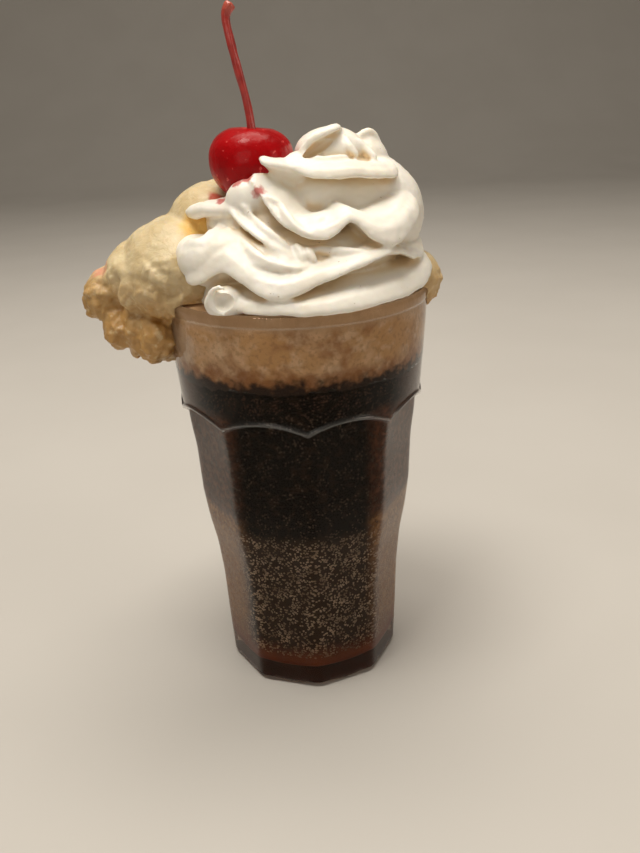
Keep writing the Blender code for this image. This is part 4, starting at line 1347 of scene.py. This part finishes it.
def cherry_skin():
    """Wet red skin with pale specks of painted highlight, and small hard highlights."""
    finish = Finish("cherry_skin", (0.37, 0.0010, 0.003), Roughness=0.30, Coat_Weight=0.12,
                    Coat_Roughness=0.04, Specular_IOR_Level=0.12)
    finish.layer(finish.use(BLOTCHES, Scale=130.0, Detail=3.0, From=0.4, To=0.7),
                 (0.26, 0.0006, 0.002), 0.8)
    # painted highlight: pale specks
    finish.layer(finish.use(BLOTCHES, Scale=560.0, Detail=1.0, From=0.69, To=0.75), (0.75, 0.10, 0.09), 0.6)
    finish.relief(finish.use(BLOTCHES, Scale=300.0, Detail=2.0, From=0.3, To=0.7), 0.35, 0.35)
    return finish.done()


def stalk_skin():
    """Glossy red stalk, darker in patches and paler at its tip."""
    finish = Finish("stalk_skin", (0.42, 0.03, 0.022), Roughness=0.32, Coat_Weight=0.5, Coat_Roughness=0.15)
    finish.layer(finish.use(BLOTCHES, Scale=240.0, Detail=4.0, From=0.4, To=0.65), (0.26, 0.012, 0.01), 0.8)
    finish.layer(finish.use(LEVEL, Low=0.2065, High=0.2100, Ragged=0.003), (0.50, 0.10, 0.06), 0.7)
    finish.relief(finish.use(BLOTCHES, Scale=900.0, Detail=3.0, From=0.3, To=0.7), 0.4, 0.15)
    return finish.done()


def pale_floor():
    """Pale matte table that changes slightly from place to place."""
    finish = Finish("pale_floor", (0.54, 0.515, 0.48), Roughness=0.6)
    finish.layer(finish.use(BLOTCHES, Scale=8.0, From=0.3, To=0.7), (0.51, 0.485, 0.45), 0.6)
    return finish.done()


# Stage

def aim(obj, target):
    away = Vector(target) - obj.location
    obj.rotation_euler = away.to_track_quat("-Z", "Y").to_euler()


def soft_light(name, place, target, size, power, colour):
    bpy.ops.object.light_add(type="AREA", location=place)
    lamp = bpy.context.active_object
    lamp.name = name
    lamp.data.shape = "RECTANGLE"
    lamp.data.size = size[0]
    lamp.data.size_y = size[1]
    lamp.data.energy = power
    lamp.data.color = colour
    aim(lamp, target)


def make_sweep(material):
    """Pale floor that curves up into a backdrop far behind."""
    bpy.ops.object.select_all(action="DESELECT")
    bpy.ops.mesh.primitive_plane_add(size=2 * FLOOR_HALF_WIDTH)
    floor = just_added("floor")
    bpy.ops.object.mode_set(mode="EDIT")
    bpy.ops.mesh.select_all(action="DESELECT")
    bpy.ops.object.mode_set(mode="OBJECT")
    for edge in floor.data.edges:
        edge.select = all(floor.data.vertices[index].co.y > 0 for index in edge.vertices)
    bpy.ops.object.mode_set(mode="EDIT")
    for step in range(1, SWEEP_STEPS + 1):
        turn = math.radians(90 * step / SWEEP_STEPS)
        before = math.radians(90 * (step - 1) / SWEEP_STEPS)
        along = SWEEP_RADIUS * (math.sin(turn) - math.sin(before))
        up = SWEEP_RADIUS * (math.cos(before) - math.cos(turn))
        bpy.ops.mesh.extrude_region_move(TRANSFORM_OT_translate={"value": (0, along, up)})
    bpy.ops.mesh.extrude_region_move(TRANSFORM_OT_translate={"value": (0, 0, FLOOR_HALF_WIDTH)})
    bpy.ops.object.mode_set(mode="OBJECT")
    smooth_shade(floor)
    floor.data.materials.append(material)


def make_stage():
    make_sweep(pale_floor())
    for light in LIGHTS:
        soft_light(*light)
    world = bpy.data.worlds.new("soft_room")
    bpy.context.scene.world = world
    world.use_nodes = True
    background = world.node_tree.nodes["Background"]
    background.inputs["Color"].default_value = ROOM_COLOUR
    background.inputs["Strength"].default_value = ROOM_STRENGTH
    bpy.context.scene.view_settings.view_transform = "Standard"


def make_camera():
    camera = bpy.data.cameras.new("camera")
    camera.sensor_width = CAMERA_SENSOR
    camera.sensor_fit = "AUTO"
    camera.lens = CAMERA_LENS
    camera.clip_start = 0.01
    obj = bpy.data.objects.new("camera", camera)
    bpy.context.scene.collection.objects.link(obj)
    pitch = Matrix.Rotation(math.radians(90 - CAMERA_PITCH), 4, "X")
    roll = Matrix.Rotation(math.radians(CAMERA_ROLL), 4, "Z")
    obj.matrix_world = Matrix.Translation(Vector(CAMERA_PLACE) * MM) @ pitch @ roll
    bpy.context.scene.camera = obj


def build():
    make_camera()
    make_tumbler(tumbler_glass())
    make_drink(dark_drink())
    make_foam(tan_foam())
    skin = bubble_skin()
    make_bubbles("bubbles_low", BUBBLE_CHAINS_LOW, (BASE_THICKNESS + 4.5, BUBBLE_MIDDLE),
                 BUBBLE_RADII_LOW, SEED, skin)
    make_bubbles("bubbles_high", BUBBLE_CHAINS_HIGH, (BUBBLE_MIDDLE, DRINK_LEVEL - 1.0),
                 BUBBLE_RADII_HIGH, SEED + 1, skin)
    cream = whipped_cream()
    ice = vanilla()
    make_scoop("scoop_left", LEFT_SCOOP, ice, "ice_cream_left")
    make_scoop("scoop_right", RIGHT_SCOOP, ice, "ice_cream_right")
    make_cream(cream)
    make_cherry(cherry_skin())
    make_stem(stalk_skin())
    make_stage()


build()
